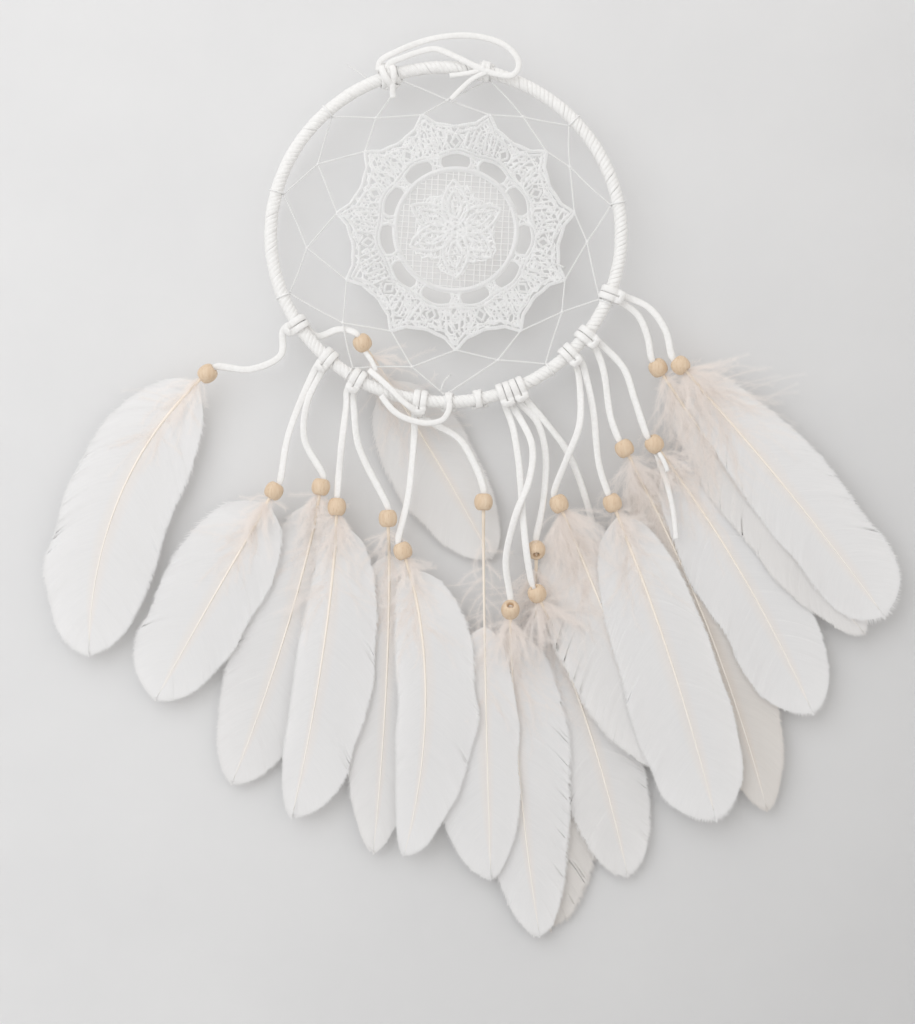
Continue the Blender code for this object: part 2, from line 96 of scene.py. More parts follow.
HOOP_CENTRE = node_middle("hoop_ring")
RING_RADIUS = (node_box("hoop_ring")[1] - HOOP_CENTRE)[1]
WRAP_RADIUS = (node_box("hoop_wrap")[1] - HOOP_CENTRE)[1]
HOOP_HALF_WIDTH = (node_box("hoop_ring")[1] - HOOP_CENTRE)[0] - RING_RADIUS
HOOP_HALF_HEIGHT = (node_box("hoop_ring")[1] - HOOP_CENTRE)[2] - RING_RADIUS
JOINTS = {joint["name"]: joint for joint in frame["joints"]}

# ---------------------------------------------------------------- lace

LACE_WIDTH = 3.1
LACE_THICKNESS = 1.5
LACE_STEP = 1.1
LACE_CORNERS = 12
KNOT_LIFT = WRAP_RADIUS + 0.35 + LACE_THICKNESS / 2
STRAND_OFFSET = 1.65
KNOT_START, KNOT_END, KNOT_STEP = 62.0, 318.0, 16.0
BAR_OUT, BAR_FRONT = 5.3, -3.9
TAIL_OUT, TAIL_BACK = 7.2, 2.2

WRAP_STRANDS = 4
WRAP_PITCH = 2.15
WRAP_BAND = 2.12
WRAP_BAND_THICKNESS = 1.1
WRAP_STEPS_PER_TURN = 24
WRAP_SEAM = 76.0
WRAP_OVERLAP = 1.5

# knots round the hoop, as angles from +X
KNOT_ANGLES = {
    "cord_1": 212.4, "cord_2": 227.8, "cord_3": 239.7,
    "cord_4": 261.6, "cord_5": 289.6, "cord_6": 294.2,
    "cord_7": 314.6, "cord_8": 322.8, "cord_9": 339.3,
}
# tails on each cord's left strand and right strand
CORD_TAILS = {
    "cord_1": (1, 5), "cord_2": (2, 3), "cord_3": (4, 6),
    "cord_4": (7, 8), "cord_5": (11, 9), "cord_6": (10, 18),
    "cord_7": (12, 13), "cord_8": (14, 15), "cord_9": (16, 17),
}
INNER_TAIL = 5
INNER_KNOT_START = 128.0

# how each lace hangs between its knot and its bead
TAIL_ROUTES = {
    1: ((-74.7, 1.5, -54.5), (-88.2, 0.5, -60.6)),
    2: ((-66.3, 1, -77.0), (-71.5, 0, -92.4)),
    3: ((-62.6, 1, -76.0), (-63.6, 0, -92.4)),
    4: ((-44.9, 1, -77.0), (-47.0, 0, -95.0)),
    5: ((-58.0, 4.8, -45.4), (-48.5, 2.6, -42.4)),
    6: ((-41.4, 1, -79.0), (-38.7, 0, -96.9)),
    7: ((-14.4, 1, -92.4), (-17.0, 0, -118.0)),
    8: ((-4.5, 1, -85.6), (6.4, 0, -92.4), (13.6, 0, -105.0)),
    9: ((38.4, -4.6, -94.0), (37.4, -5.4, -110.0), (31.1, -5.2, -126.6), (26.9, -2.5, -146.0)),
    10: ((41.5, 2.2, -85.0), (45.0, 1.8, -100.0), (43.9, 2, -120.0)),
    11: ((30.4, 0, -88.0), (33.0, -1.6, -105.0), (34.6, -2.8, -128.0), (36.2, -2.8, -143.0)),
    12: ((60.5, -1.8, -74.4), (59.6, -3.4, -87.0), (54.2, -2.6, -101.0)),
    13: ((66.2, 1, -78.4), (68.6, 0, -102.0)),
    14: ((71.2, 1.5, -62.0), (73.8, 0.5, -80.7)),
    15: ((80.0, 1.5, -60.0), (85.0, 0.5, -74.4)),
    16: ((87.0, 2, -36.8), (91.0, 1.8, -46.6)),
    17: ((91.5, 0.5, -33.0), (98.6, -1, -43.0)),
    18: ((45.5, 2.6, -85.0), (55.6, 3.4, -99.0), (63.4, 7.6, -119.0)),
}

# laces tied in beside the cords: name, body, and for each its width and route
SPARE_LACES = (
    ("swag_lace", "hoop_body", (
        (2.7, ((-34.5, -1.5, -61.0), (-31.0, -3.4, -64.0), (-25.0, -5.0, -69.4), (-19.5, -5.4, -75.0),
               (-15.2, -4.8, -78.4), (-12.6, -2.6, -80.6), (-11.0, -0.4, -81.2))),
        (2.7, ((-29.0, -4.9, -72.6), (-24.0, -5.4, -79.0), (-17.6, -5.6, -83.0), (-9.0, -5.6, -85.0),
               (-2.0, -5.4, -83.8), (1.0, -5.2, -80.0), (1.9, -4.9, -75.6))))),
    ("bead_05_spare_lace", "pendant_05_body", (
        (2.2, ((-36.4, -0.6, -52.6), (-33.4, -1.2, -57.0), (-31.4, -1.2, -61.5))),)),
    ("bead_15_spare_lace", "pendant_15_body", (
        (2.3, ((94.6, 1.6, -98.4), (96.8, 2.2, -104.0), (99.6, 2.4, -112.0), (102.4, 2.5, -124.0),
               (103.8, 2.5, -137.0))),
        (1.9, ((95.6, -1.2, -98.0), (98.0, -1.8, -102.2), (99.6, -1.6, -106.6))),)),
)
SMALL_KNOTS = ((270.4, 1.5), (271.6, -1.3), (280.0, 1.4), (281.4, -1.6))

LOOP_KNOT_ANGLE = 109.2
LOOP_DEPTH = -5.2
LOOP_LACE_WIDTH = 2.7
# both ends of the loop's lace, hidden in its knot
LOOP_IN_KNOT = (((-30.2, -3.4, 73.0), (-29.4, -4.6, 77.4)), ((-25.4, -4.8, 76.2), (-26.6, -3.6, 72.0)))
LOOP_ROUTE = (
    (-22.6, 81.2), (-13.0, 85.2), (-2.0, 88.0), (10.5, 88.6), (21.0, 86.6),
    (28.0, 83.0), (32.2, 77.8), (32.2, 73.4), (29.0, 70.6), (22.0, 71.4),
    (14.0, 74.4), (5.0, 78.8), (-4.5, 82.6), (-13.0, 81.0), (-19.5, 78.6),
)

# ------------------------------------------------------- web and doily

THREAD_RADIUS = 0.32
THREAD_TWIST = 2.2
WEB_STEP = 0.55
WEB_HITCH_ANGLES = (132.8, 165.4, 201.5, 236.4, 269.7, 306.2, 336.3, 10.6, 43.0, 75.0, 105.5)
# where two lengths of web thread are tied together, one after each hitch
WEB_KNOTS = (
    (-57.6, 31.8), (-62.6, -6.0), (-46.4, -39.7), (-15.3, -59.5), (23.4, -56.4),
    (52.2, -34.8), (63.5, -3.3), (55.8, 30.5), (34.7, 53.0), (0.9, 60.6), (-31.5, 52.5),
)
DOILY_POINTS = 11
DOILY_TIP = 54.0
# a star with one tip straight down has its box middle below its own middle
DOILY_RISE = DOILY_TIP * (1 - math.cos(math.pi / DOILY_POINTS)) / 2
DOILY_CENTRE = node_middle("doily") - HOOP_CENTRE + np.array((0.0, 0.0, DOILY_RISE))
DOILY_VALLEY = 46.5
DOILY_RING = 27.3
DOILY_BAND = 33.4
NET_PITCH_ACROSS, NET_PITCH_DOWN = 3.0, 2.5
NET_SLANT = 0.06
PETALS = 6
PETAL_LENGTH, PETAL_WIDTH = 22.0, 11.5
PETAL_VALLEY = 17.0
FLOWER_TURN = 86.0
STITCH_PITCH = 1.7
STITCH_RADIUS = 0.29
STITCH_CORNERS = 6
CROCHET_PITCH = 1.85
CROCHET_LINKS = 4
DIAMOND_RADIUS = 39.8
POST_HALF_SHARE = 0.10
PICOTS = 26
# share of the way across a lobe where each of its ribs starts and ends
LOBE_RIBS = ((-0.33, -0.26), (-0.22, -0.15), (-0.12, -0.06), (0.12, 0.06), (0.22, 0.15), (0.33, 0.26))

# -------------------------------------------------------------- beads

BEAD_RADIUS = 4.2
BEAD_LENGTH = 7.6
BORE_RADIUS = 1.55
BEAD_STEPS = 40
# beads whose bore is turned toward the viewer, in degrees
BEAD_TILTS = {9: 52.0, 10: -48.0, 11: 24.0, 5: 14.0, 16: 10.0}

# ----------------------------------------------------------- feathers

FIRST_LAYER = 5.0
LAYER_PITCH = 1.4
QUILL_RADIUS = 0.85
QUILL_START = -1.5
LAYER_START, LAYER_REACHED = 4.0, 22.0
BEND_POWER = 0.75
BARB_PITCH = 0.62
BARB_POINTS = 12
BARB_SWEEP = 0.95
BARB_SPREAD = 0.93
FRINGE_PER_BARB = 2
DOWN_STEPS = 15

Lock = namedtuple("Lock", "root wave fold number")

# bend of the shaft, length, vane widths left and right, bare quill, layer; camber of the
# vanes, how split they are, downy barbs at the base, where it is widest, tip bluntness, and
# painted shade, a warm grey painted into the vane for the shadow the feather lies in
Plume = namedtuple("Plume", "bend length left right bare layer camber split down widest blunt shade")
PLUMES = {
    1: Plume(55, 144, 25, 27, 8, 1, 0.9, 0.25, 46, 0.50, 3.6, 0.0),
    2: Plume(2, 110, 26, 21, 8, 2, 0.7, 0.3, 60, 0.44, 3.4, 0.0),
    3: Plume(-12, 142, 22, 24, 8, 4, 0.5, 0.4, 60, 0.42, 3.0, 0.05),
    4: Plume(-11, 143, 12, 25, 8, 1, 0.6, 0.25, 70, 0.46, 3.6, 0.0),
    5: Plume(-7, 114, 24, 18, 22, 5, 0.4, 0.4, 70, 0.42, 2.6, 0.15),
    6: Plume(-8, 153, 20, 20, 18, 3, 0.6, 0.5, 80, 0.36, 2.0, 0.1),
    7: Plume(-36, 141, 14, 24, 10, 0, 0.9, 0.4, 60, 0.40, 2.2, 0.0),
    8: Plume(2, 172, 25, 16, 58, 2, 0.5, 0.4, 40, 0.54, 2.2, 0.0),
    9: Plume(9, 151, 24, 26, 12, 4, 0.6, 0.8, 110, 0.36, 1.9, 0.0),
    10: Plume(4, 175, 20, 30, 34, 6, 0.5, 1.4, 150, 0.44, 2.0, 0.5),
    11: Plume(-14, 137, 21, 20, 8, 5, 0.5, 0.8, 130, 0.44, 3.4, 0.1),
    12: Plume(-4, 130, 27, 22, 8, 1, 0.6, 0.5, 190, 0.38, 2.4, 0.1),
    13: Plume(-10, 152, 26, 21, 8, 0, 0.7, 0.12, 60, 0.46, 5.5, 0.0),
    14: Plume(-16, 178, 20, 22, 12, 3, 0.6, 0.7, 150, 0.42, 2.6, 0.6),
    15: Plume(-16, 143, 22, 21, 12, 2, 0.6, 0.2, 60, 0.46, 5.0, 0.0),
    16: Plume(7, 154, 16, 19, 14, 1, 0.6, 0.8, 150, 0.44, 2.8, 0.2),
    17: Plume(-8, 147, 18, 22, 8, 0, 0.7, 0.5, 150, 0.50, 7.5, 0.0),
    18: Plume(-8, 100, 18, 18, 8, 7, 0.5, 0.8, 130, 0.40, 2.6, 0.2),
}


# --------------------------------------------------------- mesh drafts

class Draft:
    """A mesh being put together, with two shares and a painted shade amount per vertex for its material."""

    def __init__(self, painted_shade_amount=0.0):
        self.painted_shade_amount = painted_shade_amount
        self.points = []
        self.quads = []
        self.caps = []
        self.shares = []
        self.count = 0

    def add(self, points, quads, shares=None, caps=()):
        """Adds points (n, 3), quads (m, 4) and whole end faces; shares is (n, 2)."""
        points = np.asarray(points, float).reshape(-1, 3)
        if shares is None:
            shares = np.zeros((len(points), 2))
        self.points.append(points)
        self.shares.append(np.asarray(shares, float).reshape(-1, 2))
        self.quads.append(np.asarray(quads, int).reshape(-1, 4) + self.count)
        self.caps += [[int(index) + self.count for index in cap] for cap in caps]
        self.count += len(points)

    def piece(self, name, material, body, smooth=True):
        """Makes the object, places it in the row frame and lets it ride on a body."""
        points = (np.vstack(self.points) + HOOP_CENTRE) * MM
        faces = np.vstack(self.quads).tolist() + self.caps
        mesh = bpy.data.meshes.new(name)
        mesh.from_pydata(points.tolist(), [], faces)
        shares = np.vstack(self.shares)
        layer = mesh.attributes.new("share", "FLOAT_VECTOR", "POINT")
        # the third value of each vertex's share is its painted shade amount
        layer.data.foreach_set("vector", np.column_stack((shares, 0 * shares[:, 0] + self.painted_shade_amount)).ravel())
        mesh.polygons.foreach_set("use_smooth", [smooth] * len(mesh.polygons))
        mesh.materials.append(material)
        mesh.update()
        made = bpy.data.objects.new(name, mesh)
        bpy.context.scene.collection.objects.link(made)
        if body:
            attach(made, body)
        return made


def unit(vectors):
    return vectors / np.linalg.norm(vectors, axis=-1, keepdims=True)


def curve(points, step):
    """Points about a step apart on a Catmull-Rom curve through points."""
    points = np.asarray(points, float)
    padded = np.vstack((points[:1], points, points[-1:]))
    parts = []
    for before, start, end, after in zip(padded, padded[1:], padded[2:], padded[3:]):
        count = max(1, round(np.linalg.norm(end - start) / step))
        t = (np.arange(count) / count)[:, None]
        parts.append(0.5 * (2 * start + (end - before) * t
                            + (2 * before - 5 * start + 4 * end - after) * t ** 2
                            + (3 * start - before - 3 * end + after) * t ** 3))
    return np.vstack(parts + [points[-1:]])


def even(points, step, closed=False):
    """The same line with its points spaced evenly, about a step apart."""
    points = np.asarray(points, float)
    if closed:
        points = np.vstack((points, points[:1]))
    run = np.concatenate(([0.0], np.cumsum(np.linalg.norm(np.diff(points, axis=0), axis=1))))
    count = max(3, round(run[-1] / step))
    places = np.linspace(0.0, run[-1], count + 1)
    spaced = np.column_stack([np.interp(places, run, points[:, axis]) for axis in range(3)])
    return spaced[:-1] if closed else spaced


def carry(points, normals, section, size=1.0, turn=0.0, closed=False):
    """Rings of a section carried along points, its second axis along the normals."""
    points = np.asarray(points, float)
    ahead = np.roll(points, -1, axis=0)
    behind = np.roll(points, 1, axis=0)
    if not closed:
        ahead[-1] = points[-1]
        behind[0] = points[0]
    tangent = unit(ahead - behind)
    side = unit(np.cross(tangent, np.broadcast_to(normals, points.shape)))
    lift = np.cross(side, tangent)
    turn = np.broadcast_to(turn, len(points))[:, None]
    size = np.broadcast_to(size, len(points))[:, None]
    x, y = np.asarray(section, float).T
    across = (x * np.cos(turn) - y * np.sin(turn)) * size
    up = (x * np.sin(turn) + y * np.cos(turn)) * size
    return points[:, None] + side[:, None] * across[..., None] + lift[:, None] * up[..., None]


def skin(draft, rings, closed=False, capped=True):
    """Quads round and along rings of vertices, with a face over each open end."""
    rows, columns = rings.shape[:2]
    index = np.arange(rows * columns).reshape(rows, columns)
    following = np.vstack((index, index[:1])) if closed else index
    near, far = following[:-1], following[1:]
    quads = np.stack((near, far, np.roll(far, -1, axis=1), np.roll(near, -1, axis=1)), axis=-1)
    around = np.broadcast_to(np.arange(columns) / columns, (rows, columns))
    along = np.broadcast_to((np.arange(rows) / max(rows - 1, 1))[:, None], (rows, columns))
    caps = () if closed or not capped else (index[0], index[-1][::-1])
    draft.add(rings, quads, np.stack((around, along), axis=-1), caps)


def rounded_band(width, thickness, corners):
    """Section of a soft strap: a stretched oval with flattened faces."""
    turn = np.arange(corners) * 2 * math.pi / corners
    x, y = np.cos(turn), np.sin(turn)
    return np.column_stack((np.sign(x) * np.abs(x) ** 0.7 * width / 2,
                            np.sign(y) * np.abs(y) ** 0.8 * thickness / 2))


def ring_section(radius, corners):
    turn = np.arange(corners) * 2 * math.pi / corners
    return np.column_stack((np.cos(turn), np.sin(turn))) * radius


def wander(count, scale, rng):
    """Smooth random numbers near zero, one per point, changing every scale points."""
    knots = rng.normal(size=count // scale + 4)
    places = np.arange(count) / scale
    whole = places.astype(int)
    share = places - whole
    share = share * share * (3 - 2 * share)
    return knots[whole] * (1 - share) + knots[whole + 1] * share


# ----------------------------------------------------------- the hoop

def hoop_point(angle):
    turn = np.radians(angle)
    return np.stack((HOOP_HALF_WIDTH * np.cos(turn), 0 * turn, HOOP_HALF_HEIGHT * np.sin(turn)), -1)


def hoop_outward(angle):
    turn = np.radians(angle)
    return unit(np.stack((np.cos(turn) / HOOP_HALF_WIDTH, 0 * turn,
                          np.sin(turn) / HOOP_HALF_HEIGHT), -1))


def hoop_along(angle):
    out = hoop_outward(angle)
    return np.stack((-out[..., 2], 0 * out[..., 0], out[..., 0]), -1)


def hoop_wrap(material):
    """Lace wound round the ring in parallel strands, each turn lapping over the last."""
    rng = np.random.default_rng(SEED)
    girth = 2 * math.pi * math.hypot(HOOP_HALF_WIDTH, HOOP_HALF_HEIGHT) / math.sqrt(2)
    turns = round(girth / WRAP_PITCH / WRAP_STRANDS)
    count = turns * WRAP_STEPS_PER_TURN
    progress = np.arange(count) / (count - 1)
    section = rounded_band(WRAP_BAND, WRAP_BAND_THICKNESS, 12)
    draft = Draft()
    for strand_number in range(WRAP_STRANDS):
        angle = WRAP_SEAM + (360.0 + WRAP_OVERLAP) * progress
        angle = angle + 0.10 * wander(count, WRAP_STEPS_PER_TURN, rng)
        spin = 2 * math.pi * (turns * progress + strand_number / WRAP_STRANDS)
        radial = (hoop_outward(angle) * np.cos(spin)[:, None] + BACK * np.sin(spin)[:, None])
        inner = WRAP_RADIUS - WRAP_BAND_THICKNESS / 2
        reach = inner + 0.05 * wander(count, WRAP_STEPS_PER_TURN // 2, rng)
        points = hoop_point(angle) + radial * reach[:, None]
        tilt = 0.15 + 0.02 * wander(count, WRAP_STEPS_PER_TURN, rng)
        size = 1 + 0.03 * wander(count, WRAP_STEPS_PER_TURN * 2, rng)
        skin(draft, carry(points, radial, section, size, tilt))
    wrap = draft.piece("wrap_lace", material, "hoop_body")
    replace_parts(wrap, "hoop_wrap")


def round_hoop(angle, side, start, end, lift, step=KNOT_STEP):
    """Points and normals of a strand going round the hoop, behind it first."""
    count = max(3, round(abs(end - start) / step)) + 1
    turn = np.radians(np.linspace(start, end, count))[:, None]
    middle = hoop_point(angle) + hoop_along(angle) * side
    radial = hoop_outward(angle) * np.cos(turn) + BACK * np.sin(turn)
    return middle + radial * lift, radial


def lace(draft, points, normals, rng, twist=0.12, width=LACE_WIDTH):
    """A suede lace along a line, with soft edges and a slightly uneven width."""
    count = len(points)
    section = rounded_band(width, LACE_THICKNESS, LACE_CORNERS)
    size = 1 + 0.025 * wander(count, 4, rng)
    turn = twist * wander(count, 9, rng)
    skin(draft, carry(points, normals, section, size, turn))


def loop_knot(material):
    """Turns of lace round the hoop, crossed by two more that lock them, and a cut end."""
    rng = np.random.default_rng(SEED + 1)
    draft = Draft()
    for side, tilt, lift in ((-3.4, -1.1, 0.0), (-0.4, 0.4, 0.3), (2.7, 1.0, 0.0), (0.2, 3.1, 1.5), (-0.8, -2.6, 2.4)):
        turn = np.radians(np.arange(0.0, 360.0, 12.0))[:, None]
        angle = LOOP_KNOT_ANGLE
        radial = hoop_outward(angle) * np.cos(turn) + BACK * np.sin(turn)
        slant = hoop_along(angle) * (side + tilt * np.sin(turn - 0.4))
        reach = KNOT_LIFT + lift * (0.65 - 0.35 * np.sin(turn))
        points = hoop_point(angle) + slant + radial * reach
        section = rounded_band(LACE_WIDTH * 0.95, LACE_THICKNESS, LACE_CORNERS)
        size = 1 + 0.02 * wander(len(points), 5, rng)
        skin(draft, carry(points, radial, section, size, closed=True), closed=True)
    out, along = hoop_outward(LOOP_KNOT_ANGLE), hoop_along(LOOP_KNOT_ANGLE)
    middle = hoop_point(LOOP_KNOT_ANGLE)
    stub = [middle + out * o + along * a + FRONT * f for a, o, f in (
        (-1.0, -2.6, 4.8), (-0.4, -5.2, 4.2), (0.6, -8.2, 3.0), (1.0, -10.4, 2.6))]
    lace(draft, curve(stub, LACE_STEP), FRONT, rng, width=2.6)
    knot = draft.piece("loop_knot_lace", material, "hoop_body")
    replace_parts(knot, "loop_knot")


def hanging_loop(material):
    """The loop's lace, both ends running down into the knot it turns about."""
    rng = np.random.default_rng(SEED + 2)
    draft = Draft()
    start, end = LOOP_IN_KNOT
    free = [(x, LOOP_DEPTH, z) for x, z in LOOP_ROUTE]
    route = curve([*start, *free, *end], LACE_STEP)
    share = np.linspace(0, 1, len(route))
    route[:, 1] += 0.45 * np.sin(share * 9.0)
    lace(draft, route, FRONT, rng, twist=0.16, width=LOOP_LACE_WIDTH)
    loop = draft.piece("hanging_loop_lace", material, None)
    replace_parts(loop, "hanging_loop")
    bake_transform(loop)


def wrap_end(material):
    """Where the wrapping lace ends: a half knot with two cut ends."""
    rng = np.random.default_rng(SEED + 3)
    draft = Draft()
    for ends in (((17.5, -5.6, 74.4), (12.5, -4.8, 72.4), (6.5, -4.4, 71.4), (1.6, -4.2, 70.8)),
                 ((18.5, -5.4, 72.4), (12.0, -4.2, 69.4), (6.4, -3.2, 64.6), (2.2, -2.6, 60.4))):
        lace(draft, curve(ends, LACE_STEP), FRONT, rng, width=2.3)
    for side, tilt in ((-1.2, 0.9), (1.5, -0.6)):
        points, normals = round_hoop(77.0, side, 20.0, 350.0, KNOT_LIFT, 12.0)
        slant = np.linspace(-tilt, tilt, len(points))[:, None]
        lace(draft, points + hoop_along(77.0) * slant, normals, rng, width=2.7)
    draft.piece("wrap_end_knot", material, "hoop_body")


# -------------------------------------------------------------- cords

def cord_body(cord):
    return "cord_5_6_body" if cord in ("cord_5", "cord_6") else cord + "_body"


def bead_centre(number):
    return node_middle("bead_%02d" % number) - HOOP_CENTRE


def joint_point(number):
    return np.array(JOINTS["pendant_%02d_swing" % number]["pos_m"]) / MM - HOOP_CENTRE


def bead_axis(number):
    """Unit vector through the bead, from its cord to its feather."""
    return unit(bead_centre(number) - joint_point(number))


def knot(cord, material):
    """A lark's head: two strands over the hoop with a bar across them."""
    rng = np.random.default_rng(SEED + 10 + sum(CORD_TAILS[cord]))
    angle = KNOT_ANGLES[cord]
    right_start = INNER_KNOT_START if INNER_TAIL in CORD_TAILS[cord] else KNOT_START
    lean = 0.5 * rng.normal()
    left, left_normals = round_hoop(angle, -STRAND_OFFSET + 0.2 * lean, KNOT_START, KNOT_END, KNOT_LIFT)
    right, right_normals = round_hoop(angle, STRAND_OFFSET + 0.3 * lean, right_start, KNOT_END, KNOT_LIFT)
    out, along = hoop_outward(angle), hoop_along(angle)
    bar = hoop_point(angle) + out * BAR_OUT + BACK * BAR_FRONT
    turned = unit(out * 0.8 + FRONT)
    bar_points = [bar - along * 1.7 + out * 0.4 * lean, bar + out * 0.35, bar + along * 1.7]
    points = np.vstack((left, bar_points, right[::-1]))
    normals = np.vstack((left_normals, [turned] * 3, right_normals[::-1]))
    fine = curve(points, LACE_STEP)
    fine_normals = unit(curve_like(points, normals, fine))
    draft = Draft()
    lace(draft, fine, fine_normals, rng, twist=0.05)
    made = draft.piece(cord + "_knot", material, cord_body(cord))
    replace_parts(made, cord)


def curve_like(points, values, fine):
    """Values given at points, spread over the finer line through the same points."""
    nearest = []
    last = 0
    for point in points:
        gap = np.linalg.norm(fine[last:] - point, axis=1)
        last += int(np.argmin(gap[:max(4, len(fine) // 3)]))
        nearest.append(last)
    places = np.arange(len(fine))
    return np.column_stack([np.interp(places, nearest, values[:, axis]) for axis in range(3)])


def tail(cord, number, side, material):
    """A lace tail from behind its knot into its bead, bending where it meets the bead."""
    rng = np.random.default_rng(SEED + 40 + number)
    angle = KNOT_ANGLES[cord]
    start = INNER_KNOT_START if number == INNER_TAIL else KNOT_START
    around, _ = round_hoop(angle, side, start + 40.0, start, KNOT_LIFT)
    route = list(around)
    if number != INNER_TAIL:
        leave = hoop_point(angle) + hoop_along(angle) * side
        route.append(leave + hoop_outward(angle) * TAIL_OUT + BACK * TAIL_BACK)
    route += [np.array(point, float) for point in TAIL_ROUTES[number]]
    axis = bead_axis(number)
    route.append(joint_point(number) - axis * 1.5)
    route.append(bead_centre(number) - axis * 0.5)
    points = even(curve(route, LACE_STEP), LACE_STEP)
    narrowing = np.linalg.norm(points - bead_centre(number), axis=1)
    size = 1 - 0.28 * np.clip((6.0 - narrowing) / 3.0, 0.0, 1.0)
    section = rounded_band(LACE_WIDTH, LACE_THICKNESS, LACE_CORNERS)
    turn = 0.22 * wander(len(points), 12, rng)
    draft = Draft()
    skin(draft, carry(points, FRONT, section, size * (1 + 0.02 * wander(len(points), 4, rng)), turn))
    made = draft.piece("tail_%02d" % number, material, None)
    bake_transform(made)


def spare_laces(material):
    """Loose laces tied in with the knots: a swag on the hoop and cut ends at two beads."""
    rng = np.random.default_rng(SEED + 8)
    for name, body, routes in SPARE_LACES:
        draft = Draft()
        for width, route in routes:
            lace(draft, curve(route, LACE_STEP), FRONT, rng, width=width)
        draft.piece(name, material, body)


def small_knots(material):
    """Single turns of lace tied over the wrap beside the fourth knot."""
    rng = np.random.default_rng(SEED + 9)
    draft = Draft()
    for angle, tilt in SMALL_KNOTS:
        points, normals = round_hoop(angle, 0.0, 10.0, 350.0, KNOT_LIFT - 0.3, 12.0)
        slant = np.linspace(-tilt, tilt, len(points))[:, None]
        lace(draft, points + hoop_along(angle) * slant, normals, rng, width=2.5)
    draft.piece("small_knots", material, "hoop_body")


# ------------------------------------------------------ web and doily

def twisted(draft, points, radius, twist, step, closed=False):
    """A two-ply thread: a two-lobed section that turns as it goes."""
    points = even(points, step, closed)
    turn = np.arange(8) * math.pi / 4
    lobes = np.column_stack((np.cos(turn) * 1.45, np.sin(turn) * 0.8)) * radius
    spin = np.arange(len(points)) * step * 2 * math.pi / twist
    skin(draft, carry(points, FRONT, lobes, 1.0, spin, closed), closed)


def flat(x, z, depth=0.0):
    return np.array((x, depth, z), float)


def star_tip(index):
    turn = math.radians(-90.0 + 360.0 * index / DOILY_POINTS)
    return DOILY_CENTRE + DOILY_TIP * np.array((math.cos(turn), 0.0, math.sin(turn)))


def nearest_tips(point, count):
    tips = [star_tip(index) for index in range(DOILY_POINTS)]
    return sorted(tips, key=lambda tip: np.linalg.norm(tip - point))[:count]


def web(material):
    """Thread hitched round the hoop, knotted between hitches and tied to the star."""
    rng = np.random.default_rng(SEED + 4)
    draft = Draft()
    hitches = []
    for angle in WEB_HITCH_ANGLES:
        points, _ = round_hoop(angle, 0.3 * rng.normal(), 0.0, 348.0, WRAP_RADIUS + 0.25, 12.0)
        twisted_round(draft, points, angle)
        hitches.append(hoop_point(angle) - hoop_outward(angle) * (WRAP_RADIUS + 0.4))
    for index, (x, z) in enumerate(WEB_KNOTS):
        tie = flat(x, z)
        before, after = hitches[index], hitches[(index + 1) % len(hitches)]
        for end in (before, after):
            sag = (tie + end) / 2 + flat(*rng.normal(scale=0.25, size=2))
            twisted(draft, curve([end, sag, tie], 3.0), THREAD_RADIUS, THREAD_TWIST, WEB_STEP)
        blob(draft, tie, THREAD_RADIUS * 2.2)
        for tip in nearest_tips(tie, 2):
            twisted(draft, [tie, tip], THREAD_RADIUS, THREAD_TWIST, WEB_STEP)
    loose_ends = (((-44.5, 76.0), (-40.0, 73.4), (-36.0, 70.4)), ((-2.4, -70.6), (-0.8, -66.0), (2.0, -63.0)),
                  ((53.4, -15.0), (50.6, -13.6), (47.6, -13.2)))
    for line in loose_ends:
        twisted(draft, curve([flat(x, z, -0.6) for x, z in line], 1.0), THREAD_RADIUS, THREAD_TWIST, WEB_STEP)
    made = draft.piece("web_thread_lines", material, "hoop_body")
    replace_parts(made, "web_thread")


def twisted_round(draft, points, angle):
    """A turn of thread round the wrapped hoop."""
    radial = unit(points - hoop_point(angle))
    skin(draft, carry(points, radial, ring_section(THREAD_RADIUS * 1.3, 6)))


def blob(draft, centre, radius):
    """A tiny knot: a short fat bulge of thread."""
    share = np.linspace(-1, 1, 7)
    points = centre + share[:, None] * np.array((0.55, 0.0, 0.35)) * radius * 1.6
    size = np.sqrt(1.04 - share ** 2)
    skin(draft, carry(points, FRONT, ring_section(radius, 8), size))


def chain(draft, points, width, pitch, radius, closed=False, depth=0.0):
    """A crochet chain: two strands that weave round each other along a line."""
    step = pitch / 6
    points = even(points, step, closed)
    count = len(points)
    turns = max(1, round(count / 6))
    phase = 2 * math.pi * turns * np.arange(count) / count
    ahead = np.roll(points, -1, axis=0) - np.roll(points, 1, axis=0)
    if not closed:
        ahead[0] = points[1] - points[0]
        ahead[-1] = points[-1] - points[-2]
    side = unit(np.cross(unit(ahead), FRONT))
    for start in (0.0, math.pi):
        sway = np.sin(phase + start)[:, None] * width / 2
        rise = np.cos(phase + start)[:, None] * radius * 0.9 - depth
        strand = points + side * sway + BACK * rise
        skin(draft, carry(strand, FRONT, ring_section(radius, 5), closed=closed), closed)


def polar(angle, radius, depth=0.0):
    turn = np.radians(angle)
    return np.stack((radius * np.cos(turn), 0 * turn + depth, radius * np.sin(turn)), -1) + DOILY_CENTRE


def strand(draft, points, radius=0.22):
    points = np.asarray(points, float)
    skin(draft, carry(points, FRONT, ring_section(radius, 5)))


